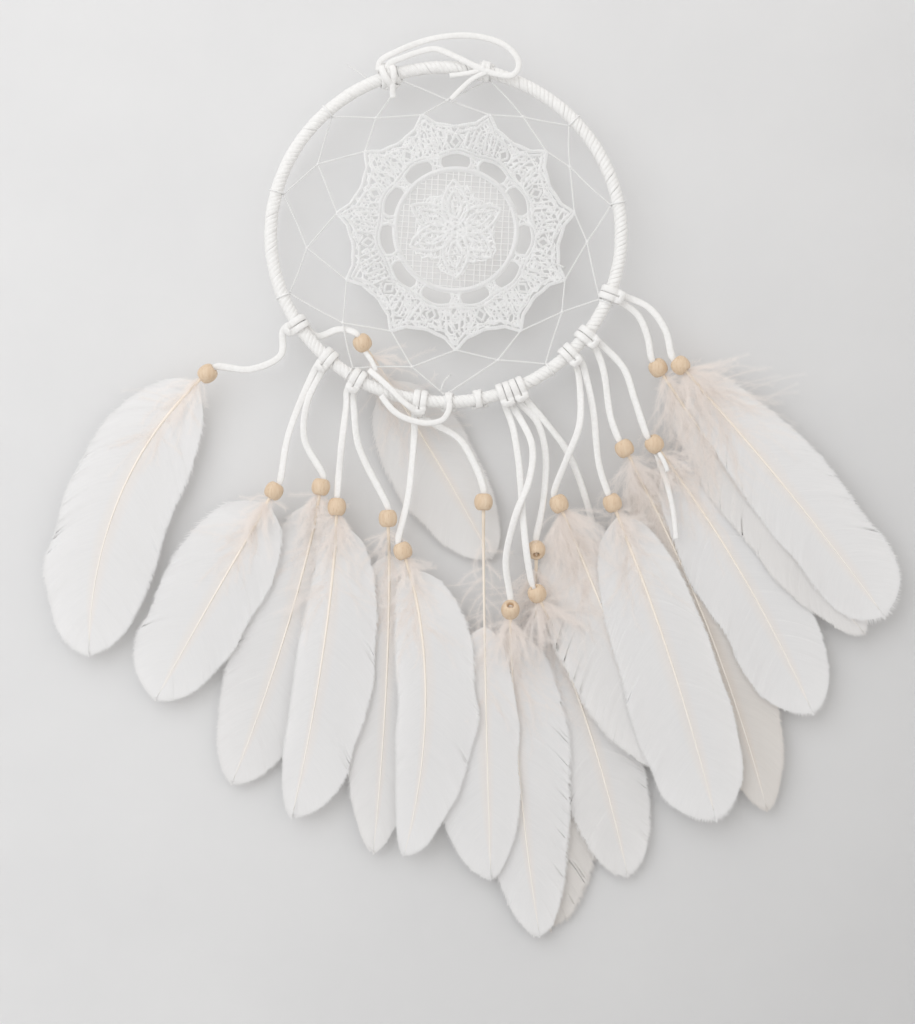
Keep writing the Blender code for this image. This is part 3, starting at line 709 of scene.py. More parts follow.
def doily_net(material):
    """The fine net across the middle ring."""
    rng = np.random.default_rng(SEED + 5)
    draft = Draft()
    reach = DOILY_RING - 0.3
    for step in range(-9, 10):
        x = step * NET_PITCH_ACROSS + 0.25 * rng.normal()
        half = math.sqrt(max(reach ** 2 - x * x, 0.0))
        z = np.linspace(-half, half, 16)
        wave = 0.18 * wander(16, 4, rng)
        line = np.column_stack((x + NET_SLANT * z + wave, 0 * z + 0.12, z)) + DOILY_CENTRE
        strand(draft, line, 0.22)
    for step in range(-11, 12):
        z = step * NET_PITCH_DOWN + 0.2 * rng.normal()
        half = math.sqrt(max(reach ** 2 - z * z, 0.0))
        x = np.linspace(-half, half, 16)
        wave = 0.16 * wander(16, 4, rng)
        line = np.column_stack((x, 0 * x - 0.1, z - NET_SLANT * x + wave)) + DOILY_CENTRE
        strand(draft, line, 0.15)
    return draft.piece("doily_net", material, "hoop_body")


def petal_outline(turn, length, width, start=1.5):
    """A pointed loop from near the middle out to a tip and back."""
    share = np.linspace(0.0, 1.0, 14)
    half = width * np.sin(np.pi * share ** 0.8) ** 0.8
    run = start + (length - start) * share
    left = np.column_stack((run, half))
    right = np.column_stack((run, -half))[::-1][1:]
    loop = np.vstack((left, right))
    across = np.array((-math.sin(turn), 0.0, math.cos(turn)))
    ahead = np.array((math.cos(turn), 0.0, math.sin(turn)))
    return DOILY_CENTRE + loop[:, :1] * ahead + loop[:, 1:] * across


def stitched(draft, points, width=1.15, radius=0.34, depth=0.0, closed=False):
    """A plump row of crochet stitches."""
    chain(draft, points, width, STITCH_PITCH, radius, closed, depth)


def stitched(draft, points, width=1.15, radius=0.34, depth=0.0, closed=False):
    """A plump row of crochet stitches."""
    chain(draft, points, width, STITCH_PITCH, radius, closed, depth)


def stitches(draft, starts, ends, radius, bow):
    """Many short plump threads at once: starts and ends are (n, 3)."""
    reach = np.array((-0.08, 0.3, 0.7, 1.08))
    swell = np.array((0.75, 1.15, 1.15, 0.75))
    turn = np.arange(STITCH_CORNERS) * 2 * math.pi / STITCH_CORNERS
    ahead = unit(ends - starts)
    side = unit(np.cross(ahead, FRONT))
    lift = np.cross(side, ahead)
    middle = starts[:, None] + (ends - starts)[:, None] * reach[:, None]
    middle = middle + BACK * (bow[:, None] * np.sin(np.pi * np.clip(reach, 0, 1)))[..., None]
    size = (radius[:, None] * swell)[..., None, None]
    ring = side[:, None, None] * np.cos(turn)[:, None] + lift[:, None, None] * np.sin(turn)[:, None]
    points = middle[:, :, None] + ring * size
    index = np.arange(points.size // 3).reshape(points.shape[:3])
    near, far = index[:, :-1], index[:, 1:]
    quads = np.stack((near, far, np.roll(far, -1, axis=2), np.roll(near, -1, axis=2)), axis=-1)
    draft.add(points, quads)


def crochet(draft, nodes, reach, rng):
    """Threads from each node to its near neighbours, with a small knot on every node."""
    apart = np.linalg.norm(nodes[:, None] - nodes[None], axis=-1)
    near = np.argsort(apart, axis=1)[:, 1:CROCHET_LINKS + 1]
    pairs = {(min(a, b), max(a, b)) for a, row in enumerate(near) for b in row if apart[a, b] < reach}
    first, last = np.array(sorted(pairs)).T
    count = len(first)
    depth = nodes + BACK * (0.16 * rng.normal(size=len(nodes)))[:, None]
    stitches(draft, depth[first], depth[last], STITCH_RADIUS * (1 + 0.18 * rng.normal(size=count)),
             0.22 * rng.normal(size=count))
    turn = rng.random(len(nodes)) * math.pi
    lean = np.stack((np.cos(turn), 0 * turn, np.sin(turn)), axis=-1) * 0.34
    stitches(draft, depth - lean, depth + lean, np.full(len(nodes), STITCH_RADIUS * 1.35), 0 * turn - 0.1)


def grid_nodes(span, pitch, rng):
    """Jittered points of a brick pattern over a square around the doily's middle."""
    rows = np.arange(-span, span, pitch * 0.87)
    nodes = []
    for number, z in enumerate(rows):
        x = np.arange(-span, span, pitch) + (pitch / 2 if number % 2 else 0.0)
        nodes.append(np.column_stack((x, 0 * x, 0 * x + z)))
    nodes = np.vstack(nodes)
    jitter = rng.normal(size=nodes.shape) * pitch * 0.13
    return nodes + jitter * np.array((1.0, 0.0, 1.0))


def doily_flower(material):
    """Six looped petals of dense crochet worked over the net."""
    rng = np.random.default_rng(SEED + 6)
    draft = Draft()
    nodes = grid_nodes(PETAL_LENGTH + 1.0, 1.75, rng)
    turn = np.arctan2(nodes[:, 2], nodes[:, 0]) - math.radians(FLOWER_TURN)
    reach = PETAL_VALLEY + (PETAL_LENGTH - PETAL_VALLEY) * np.abs(np.cos(turn * PETALS / 2)) ** 0.9
    nodes = nodes[np.linalg.norm(nodes, axis=1) < reach - 0.8]
    crochet(draft, nodes + DOILY_CENTRE + FRONT * 0.35, 2.5, rng)
    for index in range(PETALS):
        angle = math.radians(FLOWER_TURN + 60.0 * index + 3.0 * rng.normal())
        length = PETAL_LENGTH * (1 + 0.04 * rng.normal())
        stitched(draft, petal_outline(angle, length, PETAL_WIDTH / 2), 1.1, 0.33, 0.6)
        stitched(draft, petal_outline(angle, length * 0.8, PETAL_WIDTH / 4, 5.0), 0.9, 0.29, 0.7)
        beside = angle + math.radians(30.0)
        stitched(draft, petal_outline(beside, PETAL_VALLEY, PETAL_WIDTH * 0.36, 4.5), 0.95, 0.29, 0.5)
    for radius in (1.4, 3.4, 5.2):
        circle = polar(np.arange(0.0, 360.0, 15.0), radius, -0.6)
        stitched(draft, circle, 1.0, 0.3, closed=True)
    return draft.piece("doily_flower", material, "hoop_body")


def doily_ring(material):
    """Double chain round the net."""
    draft = Draft()
    for radius, depth in ((DOILY_RING - 0.5, 0.0), (DOILY_RING + 0.7, 0.1), (DOILY_RING + 0.1, -0.3)):
        circle = polar(np.arange(0.0, 360.0, 4.0), radius, depth)
        stitched(draft, circle, 1.0, 0.31, closed=True)
    return draft.piece("doily_ring", material, "hoop_body")


def star_edge(share):
    """Radius of the star's outer edge at a share of the way from tip to tip."""
    away = np.abs(share - np.round(share)) * 2
    spike = 0.45 * np.clip(1 - away / 0.92, 0.0, 1.0) + 0.55 * np.clip(1 - away / 0.36, 0.0, 1.0) ** 1.1
    return DOILY_VALLEY + (DOILY_TIP - DOILY_VALLEY) * spike


def band_edge(share):
    """Radius of the inner edge of the star's band, highest over the windows."""
    return DOILY_BAND + 1.5 * np.sin(np.pi * share) ** 2


def lobe_point(index, share, radius, depth=0.0):
    """A point in one lobe: share -0.5..0.5 across it, at a radius from the middle."""
    return polar(-90.0 + (index + share) * 360.0 / DOILY_POINTS, radius, depth)


def lobe_nodes(rng):
    """Crochet nodes of the whole star, leaving out its windows and its small diamonds."""
    nodes = grid_nodes(DOILY_TIP + 1.0, CROCHET_PITCH, rng)
    radius = np.linalg.norm(nodes, axis=1)
    turn = np.degrees(np.arctan2(nodes[:, 2], nodes[:, 0])) + 90.0
    share = (turn / (360.0 / DOILY_POINTS) + 0.5) % 1.0 - 0.5
    band = (radius > band_edge(share) + 0.5) & (radius < star_edge(share) - 0.5)
    post = np.abs(share) * radius < POST_HALF_SHARE * DOILY_BAND
    post = post & (radius > DOILY_RING + 0.8) & (radius < DOILY_BAND + 1)
    sideways = (0.5 - np.abs(share)) * 2 * math.pi * radius / DOILY_POINTS
    diamond = np.abs(sideways) / 2.9 + np.abs(radius - DIAMOND_RADIUS) / 3.4 < 1
    return nodes[(band | post) & ~diamond] + DOILY_CENTRE


def lobe(draft, index, rng):
    """Stitched lines of one point of the star: its band, diamond, shell and edges."""
    depth = 0.12 * rng.normal()
    share = np.linspace(-0.5, 0.5, 21)
    stitched(draft, lobe_point(index, share, band_edge(share), depth), 1.05, 0.32)
    stitched(draft, lobe_point(index, share, band_edge(share) + 1.4, depth - 0.2), 0.85, 0.28)
    for side in (-1, 1):
        post = [lobe_point(index, side * s, r, depth) for s, r in ((0.15, 27.9), (0.085, 30.6), (0.15, 33.8))]
        stitched(draft, curve(post, 1.5), 1.0, 0.32)
        diamond = [lobe_point(index, side * s, r, depth) for s, r in (
            (0.5, 37.0), (0.405, 39.8), (0.5, 42.7))]
        stitched(draft, diamond, 0.8, 0.26)
    turn = np.radians(np.arange(0.0, 360.0, 30.0))
    circle = lobe_point(index, 0.06 * np.cos(turn), DIAMOND_RADIUS - 0.5 + 1.1 * np.sin(turn), depth - 0.25)
    stitched(draft, circle, 0.9, 0.29, closed=True)
    for low, high in LOBE_RIBS:
        rib = [lobe_point(index, low, 36.4, depth - 0.2), lobe_point(index, high, 45.6, depth - 0.2)]
        stitched(draft, rib, 0.75, 0.26)
    lobe_edge(draft, index, depth)


def lobe_edge(draft, index, depth):
    """The outer edge with its picots, and a line of stitches inside it."""
    share = np.linspace(-0.5, 0.5, 33)
    edge = star_edge(share)
    stitched(draft, lobe_point(index, share, edge, depth), 1.15, 0.34)
    stitched(draft, lobe_point(index, share * 0.94, edge - 2.6, depth - 0.15), 0.85, 0.28)
    for step in range(PICOTS):
        place = -0.5 + (step + 0.5) / PICOTS
        picot = lobe_point(index, place, star_edge(place) + 0.6, depth)
        blob(draft, picot, 0.4)


def doily_star(material):
    rng = np.random.default_rng(SEED + 7)
    draft = Draft()
    crochet(draft, lobe_nodes(rng), 2.5, rng)
    for index in range(DOILY_POINTS):
        lobe(draft, index, rng)
    draft.piece("doily_star", material, "hoop_body")


# -------------------------------------------------------------- beads

def bead(number, material):
    """A turned wooden bead: rounded outside, a straight bore with eased ends."""
    rng = np.random.default_rng(SEED + 70 + number)
    half = BEAD_LENGTH / 2
    ease = 0.35
    tall = half * (1 + 0.02 * rng.normal())
    stretch = np.sin(np.linspace(-0.5, 0.5, 21) * math.pi)
    mouth = BORE_RADIUS + ease
    outer = [(mouth + (BEAD_RADIUS - mouth) * math.sqrt(1 - t * t), -tall * t) for t in stretch]
    inner = [(BORE_RADIUS, -tall + ease * 1.3), (BORE_RADIUS, 0.0), (BORE_RADIUS, tall - ease * 1.3)]
    profile = np.array(outer + inner)
    turn = np.arange(BEAD_STEPS) * 2 * math.pi / BEAD_STEPS
    axis = bead_axis(number)
    tilt = math.radians(BEAD_TILTS.get(number, 6.0 * rng.normal()))
    side = unit(np.cross(axis, FRONT))
    axis = unit(-axis * math.cos(tilt) + FRONT * math.sin(tilt))
    cross = np.cross(axis, side)
    around = side * np.cos(turn)[:, None] + cross * np.sin(turn)[:, None]
    rings = (bead_centre(number) + around[:, None] * profile[None, :, :1]
             + axis * profile[None, :, 1:])
    draft = Draft()
    skin(draft, rings, closed=True)
    made = draft.piece("wood_bead_%02d" % number, material, "pendant_%02d_body" % number)
    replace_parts(made, "bead_%02d" % number)


# ----------------------------------------------------------- feathers

class Shaft:
    """The middle line of one feather, read at any distance from its quill end."""

    def __init__(self, number):
        plume = PLUMES[number]
        axis = bead_axis(number)
        self.lean = math.degrees(math.atan2(axis[0], -axis[2]))
        self.plume = plume
        self.base_depth = bead_centre(number)[1]
        self.layer_depth = FIRST_LAYER + LAYER_PITCH * plume.layer
        self.places = np.arange(0.0, plume.length + 6.0, 1.0)
        middle = self.leans(self.places[:-1] + 0.5)
        strides = np.column_stack((np.sin(middle), 0 * middle, -np.cos(middle)))
        start = bead_centre(number) + axis * QUILL_START
        self.line = np.vstack((start, start + np.cumsum(strides, axis=0)))

    def leans(self, distance):
        share = np.clip(distance / self.plume.length, 0.0, None)
        return np.radians(self.lean + self.plume.bend * share ** BEND_POWER)

    def depth(self, distance):
        share = np.clip((distance - LAYER_START) / (LAYER_REACHED - LAYER_START), 0.0, 1.0)
        return self.base_depth + (self.layer_depth - self.base_depth) * share * share * (3 - 2 * share)

    def point(self, distance):
        x = np.interp(distance, self.places, self.line[:, 0])
        z = np.interp(distance, self.places, self.line[:, 2])
        return np.stack((x, self.depth(distance), z), axis=-1)

    def sideways(self, distance):
        lean = self.leans(distance)
        return np.stack((np.cos(lean), 0 * lean, np.sin(lean)), axis=-1)


def vane_share(share, plume):
    """Share of the full vane width at a share of the vane's length."""
    rising = np.sqrt(np.clip(1 - (1 - share / plume.widest) ** 2, 0, 1))
    past = np.clip(share - plume.widest, 0, 1) / (1 - plume.widest)
    falling = np.clip(1 - past ** plume.blunt, 0, 1) ** 0.6
    return np.where(share < plume.widest, rising, falling)


def smooth_step(share):
    share = np.clip(share, 0.0, 1.0)
    return share * share * (3 - 2 * share)


def locks(count, split, rng):
    """Barb numbers where the vane parts into locks."""
    borders = [0]
    while borders[-1] < count:
        borders.append(borders[-1] + int(rng.integers(7, 16 + int(30 / (0.4 + split)))))
    borders[-1] = count
    return borders


def vane(draft, shaft, side, rng):
    """One side of a feather as barbs in locks that part toward the edge."""
    plume = shaft.plume
    span = plume.length - plume.bare
    count = int(span / BARB_PITCH)
    wave = wander(count + 4, 26, rng)
    fold = wander(count + 4, 34, rng)
    borders = locks(count, plume.split, rng)
    for first, last in zip(borders, borders[1:]):
        number = np.arange(first, min(last + 2, count) + 1)
        lock = Lock(number / count, wave[number], fold[number], number)
        lock_vane(draft, shaft, side, lock, rng)


def lock_vane(draft, shaft, side, lock, rng):
    """A lock: neighbouring barbs joined into one thin ribbed sheet with a loose fringe."""
    plume = shaft.plume
    half = plume.left if side < 0 else plume.right
    span = plume.length - plume.bare
    root = lock.root
    t = np.linspace(0.0, 1.0, BARB_POINTS)
    sweep = BARB_SWEEP * half / span * (0.35 + 0.65 * smooth_step(root / 0.22))
    end = root + (1 - root) * (1 - np.exp(-sweep / np.maximum(1 - root, 1e-4)))
    local = np.linspace(-1.0, 1.0, len(root))
    gap = plume.split * 3.0 * rng.random() ** 9 - 0.25
    opening = np.clip((t - 0.3) / 0.7, 0, 1) ** 1.7
    along = root[:, None] + (end - root)[:, None] * (0.62 * t + 0.38 * t ** 2)
    distance = plume.bare + span * along
    distance = distance - local[:, None] * gap * opening + plume.split * 0.35 * rng.normal() * t ** 3
    edge = half * vane_share(np.clip(end, 0, 1), plume) * (1 + 0.035 * lock.wave)
    ragged = 1 + (0.004 + 0.008 * plume.split) * rng.normal(size=len(root))
    across = (edge * ragged)[:, None] * (1.18 * t - 0.18 * t ** 2) * BARB_SPREAD
    bow = plume.camber * (across / max(half, 1.0)) ** 2
    lift = 0.16 * plume.split * rng.normal() * t ** 2.5
    ribs = 0.035 * np.where(lock.number % 2 == 0, 1.0, -1.0)[:, None] * np.minimum(1, 4 * t)
    ripple = (0.10 * np.sin(distance / 9.0 + side + shaft.lean) + 0.34 * lock.fold[:, None]) * t ** 1.4
    shingle = 0.06 * local[:, None]
    depth = bow + lift + ribs + ripple + shingle
    points = (shaft.point(distance) + shaft.sideways(distance) * (side * across)[..., None]
              + BACK * depth[..., None])
    rows, columns = points.shape[:2]
    index = np.arange(rows * columns).reshape(rows, columns)
    quads = np.stack((index[:-1, :-1], index[1:, :-1], index[1:, 1:], index[:-1, 1:]), -1)
    if side > 0:
        quads = quads[..., ::-1]
    shares = np.stack(np.broadcast_arrays(t[None], root[:, None]), axis=-1)
    draft.add(points, quads, shares)
    fringe(draft, points, edge, root, shaft, rng)


def fringe(draft, points, edge, root, shaft, rng):
    """Loose barb ends past the sheet, each a fine hair that keeps its barb's direction."""
    if len(points) < 3:
        return
    pick = np.repeat(np.arange(len(points)), FRINGE_PER_BARB)
    place = np.clip(pick + rng.random(len(pick)) - 0.5, 0, len(points) - 1.001)
    low, share = place.astype(int), (place % 1.0)[:, None]
    last = points[low, -1] * (1 - share) + points[low + 1, -1] * share
    inner = points[low, -4] * (1 - share) + points[low + 1, -4] * share
    ahead = unit(last - inner)
    downy = 1.0 + 1.6 * np.clip(1 - root[pick] / 0.25, 0, 1)
    tuft = 0.4 * shaft.plume.blunt * np.clip((root[pick] - 0.86) / 0.14, 0, 1)
    loose = 0.5 + 0.5 * min(shaft.plume.split, 1.6) + tuft
    length = (0.6 + 0.07 * edge[pick]) * (0.4 + 0.9 * rng.random(len(pick))) * downy * loose
    turn = 0.12 * rng.normal(size=len(pick)) * downy
    steps = np.linspace(0.0, 1.0, 5)
    angle = turn[:, None] * steps
    swung = np.stack((ahead[:, :1] * np.cos(angle) - ahead[:, 2:] * np.sin(angle),
                      np.broadcast_to(ahead[:, 1:2], angle.shape),
                      ahead[:, :1] * np.sin(angle) + ahead[:, 2:] * np.cos(angle)), axis=-1)
    start = last - ahead * 0.8
    lines = start[:, None] + swung * ((length[:, None] + 0.8) * steps)[..., None]
    hairs(draft, lines, 0.17 * (1.06 - steps) ** 0.8, 0.9)


def hairs(draft, lines, half_width, across):
    """Flat hairs, two vertices wide: lines is (n, steps, 3), half_width one per step."""
    ahead = np.gradient(lines, axis=1)
    side = unit(np.cross(ahead, FRONT)) * np.broadcast_to(half_width, lines.shape[:2])[..., None]
    rows = np.stack((lines - side, lines + side), axis=2)
    count, steps = lines.shape[:2]
    index = np.arange(count * steps * 2).reshape(count, steps, 2)
    quads = np.stack((index[:, :-1, 0], index[:, :-1, 1], index[:, 1:, 1], index[:, 1:, 0]), axis=-1)
    draft.add(rows, quads, np.full((count * steps * 2, 2), across))


def down(number, shaft, rng, material):
    """Soft downy barbs round the base of the vane, each with a haze of barbules."""
    plume = shaft.plume
    draft = Draft()
    count = plume.down
    span = plume.length - plume.bare
    first, last = 0.25 * plume.bare + 2.0, plume.bare + min(0.3 * span, 34.0)
    root = first + (last - first) * rng.random(count) ** 1.3
    side = np.where(rng.random(count) < 0.5, -1.0, 1.0)
    reach = 0.55 + 0.45 * smooth_step((root - first) / 18.0)
    fluffy = 1.0 + 0.6 * min(max((count - 60) / 60, 0.0), 1.0)
    length = (12.0 + 16.0 * rng.random(count)) * reach * fluffy
    share = np.linspace(0.0, 1.0, DOWN_STEPS)
    start = shaft.leans(root) + side * np.radians(50 + 22 * rng.normal(size=count))
    curl = side * np.radians(-38 + 18 * rng.normal(size=count))
    kinks = np.cumsum(rng.normal(size=(count, DOWN_STEPS)), axis=1) * 0.04
    heading = start[:, None] + curl[:, None] * share + kinks * share
    stride = (length / (DOWN_STEPS - 1))[:, None, None]
    offsets = np.stack((np.sin(heading), 0 * heading, -np.cos(heading)), axis=-1) * stride
    offsets[:, 0] = 0.0
    drift = rng.normal(size=count)[:, None] * 0.8 * share ** 2
    lines = shaft.point(root)[:, None] + np.cumsum(offsets, axis=1) + BACK * drift[..., None]
    hairs(draft, lines, 0.08 * (1.1 - share), 0.05)
    barbules(draft, lines, heading, rng)
    draft.piece("down_%02d" % number, material, "pendant_%02d_body" % number)


def barbules(draft, lines, heading, rng):
    """Tiny side hairs all along each downy barb."""
    for turn, place in ((-1, 0.0), (1, 0.0), (-1, 0.33), (1, 0.33), (-1, 0.66), (1, 0.66)):
        roots = lines[:, :-1] * (1 - place) + lines[:, 1:] * place
        angle = heading[:, :-1] + turn * (0.55 + 0.35 * rng.random(roots.shape[:2]))
        length = 1.0 + 1.5 * rng.random(roots.shape[:2])
        out = np.stack((np.sin(angle), 0.2 * rng.normal(size=angle.shape), -np.cos(angle)), axis=-1)
        tips = roots + out * length[..., None]
        ends = np.stack((roots, (roots + tips) / 2, tips), axis=2).reshape(-1, 3, 3)
        hairs(draft, ends, np.array((0.045, 0.035, 0.012)), 0.05)


def quill(number, shaft, material):
    """The shaft: a round hollow quill that flattens and thins toward the tip."""
    plume = shaft.plume
    places = np.concatenate((np.linspace(0.0, 24.0, 13), np.arange(28.0, plume.length, 4.0)))
    points = shaft.point(places)
    share = places / plume.length
    size = QUILL_RADIUS * (1 - 0.86 * share ** 0.8)
    draft = Draft()
    skin(draft, carry(points, FRONT, ring_section(1.0, 8) * (1.0, 0.85), size))
    draft.piece("quill_%02d" % number, material, "pendant_%02d_body" % number)


def feather(number, vane_material, down_material, quill_material):
    rng = np.random.default_rng(SEED + 100 + number)
    shaft = Shaft(number)
    # the vane carries its feather's painted shade amount
    draft = Draft(PLUMES[number].shade)
    for side in (-1, 1):
        vane(draft, shaft, side, rng)
    made = draft.piece("vane_%02d" % number, vane_material, "pendant_%02d_body" % number)
    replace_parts(made, "feather_%02d" % number)
    down(number, shaft, rng, down_material)
    quill(number, shaft, quill_material)


# ---------------------------------------------------------- materials

def new_material(name):
    """A fresh node material; returns it with its tree and its Principled shader."""
    material = bpy.data.materials.new(name)
    material.use_nodes = True
    tree = material.node_tree
    return material, tree, tree.nodes["Principled BSDF"]


def node(tree, kind, **values):
    made = tree.nodes.new(kind)
    for name, value in values.items():
        setattr(made, name, value)
    return made


def mapped(tree, scale):
    """Object coordinates in the row frame, stretched by three scales."""
    place = node(tree, "ShaderNodeTexCoord")
    stretch = node(tree, "ShaderNodeMapping")
    stretch.inputs["Scale"].default_value = scale
    tree.links.new(place.outputs["Object"], stretch.inputs["Vector"])
    return stretch.outputs["Vector"]


def noise(tree, vector, scale, detail=4.0, roughness=0.6):
    made = node(tree, "ShaderNodeTexNoise")
    made.inputs["Scale"].default_value = scale
    made.inputs["Detail"].default_value = detail
    made.inputs["Roughness"].default_value = roughness
    tree.links.new(vector, made.inputs["Vector"])
    return made.outputs["Fac"]


def ramp(tree, source, stops):
    made = node(tree, "ShaderNodeValToRGB")
    elements = made.color_ramp.elements
    while len(elements) < len(stops):
        elements.new(0.5)
    for element, (place, colour) in zip(elements, stops):
        element.position = place
        element.color = (*colour, 1.0)
    tree.links.new(source, made.inputs["Fac"])
    return made.outputs["Color"]


def bump(tree, height, shader, strength, distance):
    made = node(tree, "ShaderNodeBump")
    made.inputs["Strength"].default_value = strength
    made.inputs["Distance"].default_value = distance * MM
    tree.links.new(height, made.inputs["Height"])
    tree.links.new(made.outputs["Normal"], shader.inputs["Normal"])


def spread(tree, source, low, high):
    """A noise value spread between two plain numbers."""
    made = node(tree, "ShaderNodeMapRange")
    made.inputs["To Min"].default_value = low
    made.inputs["To Max"].default_value = high
    tree.links.new(source, made.inputs["Value"])
    return made.outputs["Result"]


def suede():
    """White faux suede: a short soft nap with faint mottling."""
    material, tree, shader = new_material("white_suede")
    place = mapped(tree, (1.0, 1.0, 1.0))
    mottle = noise(tree, place, 700.0, 3.0)
    nap = noise(tree, place, 5200.0, 5.0, 0.75)
    colour = ramp(tree, mottle, ((0.3, (0.88, 0.872, 0.855)), (0.7, (0.94, 0.935, 0.92))))
    tree.links.new(colour, shader.inputs["Base Color"])
    tree.links.new(spread(tree, nap, 0.82, 1.0), shader.inputs["Roughness"])
    shader.inputs["Sheen Weight"].default_value = 0.35
    shader.inputs["Sheen Roughness"].default_value = 0.5
    shader.inputs["Specular IOR Level"].default_value = 0.15
    bump(tree, nap, shader, 0.3, 0.12)
    return material


COTTON_GLOW = 0.08


def cotton(name, low, high, scale):
    """Spun cotton: fine fibres and little shine."""
    material, tree, shader = new_material(name)
    fibre = noise(tree, mapped(tree, (1.0, 1.0, 1.0)), scale, 4.0, 0.7)
    tree.links.new(ramp(tree, fibre, ((0.3, low), (0.7, high))), shader.inputs["Base Color"])
    tree.links.new(spread(tree, fibre, 0.7, 0.95), shader.inputs["Roughness"])
    shader.inputs["Sheen Weight"].default_value = 0.2
    shader.inputs["Specular IOR Level"].default_value = 0.25
    bump(tree, fibre, shader, 0.4, 0.08)
    let_light_through(tree, shader, high, COTTON_GLOW)
    return material


def steel():
    """Dull zinc-grey wire with fine drawing marks."""
    material, tree, shader = new_material("ring_steel")
    marks = noise(tree, mapped(tree, (1.0, 8.0, 1.0)), 900.0, 4.0)
    tree.links.new(ramp(tree, marks, ((0.3, (0.48, 0.45, 0.43)), (0.7, (0.66, 0.63, 0.6)))),
                   shader.inputs["Base Color"])
    shader.inputs["Metallic"].default_value = 1.0
    tree.links.new(spread(tree, marks, 0.3, 0.5), shader.inputs["Roughness"])
    bump(tree, marks, shader, 0.2, 0.05)
    return material


def wood():
    """Pale lotus wood: long fine grain, darker rays and a thin clear finish."""
    material, tree, shader = new_material("bead_wood_grain")
    grain = noise(tree, mapped(tree, (1.0, 1.0, 0.14)), 640.0, 5.0, 0.6)
    rays = noise(tree, mapped(tree, (2.6, 2.6, 0.3)), 800.0, 2.0, 0.5)
    pale = ramp(tree, grain, ((0.2, (0.68, 0.50, 0.33)), (0.5, (0.76, 0.59, 0.42)), (0.8, (0.82, 0.67, 0.50))))
    dark = ramp(tree, rays, ((0.26, (0.84, 0.75, 0.66)), (0.44, (1.0, 1.0, 1.0))))
    mix = node(tree, "ShaderNodeMix", data_type="RGBA", blend_type="MULTIPLY")
    mix.inputs["Factor"].default_value = 0.7
    tree.links.new(pale, mix.inputs["A"])
    tree.links.new(dark, mix.inputs["B"])
    tree.links.new(mix.outputs["Result"], shader.inputs["Base Color"])
    tree.links.new(spread(tree, grain, 0.45, 0.62), shader.inputs["Roughness"])
    shader.inputs["Coat Weight"].default_value = 0.08
    bump(tree, grain, shader, 0.25, 0.08)
    return material


def share_noise(tree, across_scale, along_scale, detail=3.0):
    """Noise laid out along each barb, from the mesh's own shares."""
    place = node(tree, "ShaderNodeAttribute", attribute_name="share")
    stretch = node(tree, "ShaderNodeMapping")
    stretch.inputs["Scale"].default_value = (across_scale, along_scale, 1.0)
    tree.links.new(place.outputs["Vector"], stretch.inputs["Vector"])
    return place, noise(tree, stretch.outputs["Vector"], 1.0, detail)


def multiplied(tree, first, second):
    mix = node(tree, "ShaderNodeMix", data_type="RGBA", blend_type="MULTIPLY")
    mix.inputs["Factor"].default_value = 1.0
    tree.links.new(first, mix.inputs["A"])
    tree.links.new(second, mix.inputs["B"])
    return mix.outputs["Result"]


def let_light_through(tree, shader, colour, share):
    """Mixes a Translucent shader of one colour into a material."""
    glow = node(tree, "ShaderNodeBsdfTranslucent")
    glow.inputs["Color"].default_value = (*colour, 1.0)
    both = node(tree, "ShaderNodeMixShader")
    both.inputs["Fac"].default_value = share
    tree.links.new(shader.outputs["BSDF"], both.inputs[1])
    tree.links.new(glow.outputs["BSDF"], both.inputs[2])
    tree.links.new(both.outputs["Shader"], tree.nodes["Material Output"].inputs["Surface"])


def feather_vane():
    """Translucent white barbs with fine streaks, warmer beside the shaft, and darkened toward a warm grey by a painted
    shade on some feathers.
    """
    material, tree, shader = new_material("feather_vane")
    place, streaks = share_noise(tree, 1.6, 260.0)
    parts = node(tree, "ShaderNodeSeparateXYZ")
    tree.links.new(place.outputs["Vector"], parts.inputs["Vector"])
    warm = ramp(tree, parts.outputs["X"], ((0.0, (0.97, 0.925, 0.885)), (0.2, (0.94, 0.94, 0.94))))
    fine = ramp(tree, streaks, ((0.25, (0.95, 0.95, 0.95)), (0.7, (1.0, 1.0, 1.0))))
    # painted shade: the third share turns the barbs' colour toward a warm grey, standing for the shadow the feather
    # lies in
    shade = ramp(tree, parts.outputs["Z"], ((0.0, (1.0, 1.0, 1.0)), (1.0, (0.80, 0.74, 0.67))))
    tree.links.new(multiplied(tree, multiplied(tree, warm, fine), shade), shader.inputs["Base Color"])
    tree.links.new(spread(tree, streaks, 0.5, 0.75), shader.inputs["Roughness"])
    shader.inputs["Specular IOR Level"].default_value = 0.3
    shader.inputs["Sheen Weight"].default_value = 0.1
    bump(tree, streaks, shader, 0.25, 0.1)
    let_light_through(tree, shader, (0.96, 0.93, 0.90), 0.2)
    return material


def feather_down():
    """Soft cream down that light passes straight through."""
    material, tree, shader = new_material("feather_down")
    _, streaks = share_noise(tree, 3.0, 30.0)
    tint = ramp(tree, streaks, ((0.3, (1.0, 0.945, 0.905)), (0.7, (1.0, 0.975, 0.955))))
    tree.links.new(tint, shader.inputs["Base Color"])
    tree.links.new(spread(tree, streaks, 0.8, 1.0), shader.inputs["Roughness"])
    shader.inputs["Specular IOR Level"].default_value = 0.1
    let_light_through(tree, shader, (1.0, 0.95, 0.91), 0.5)
    return material


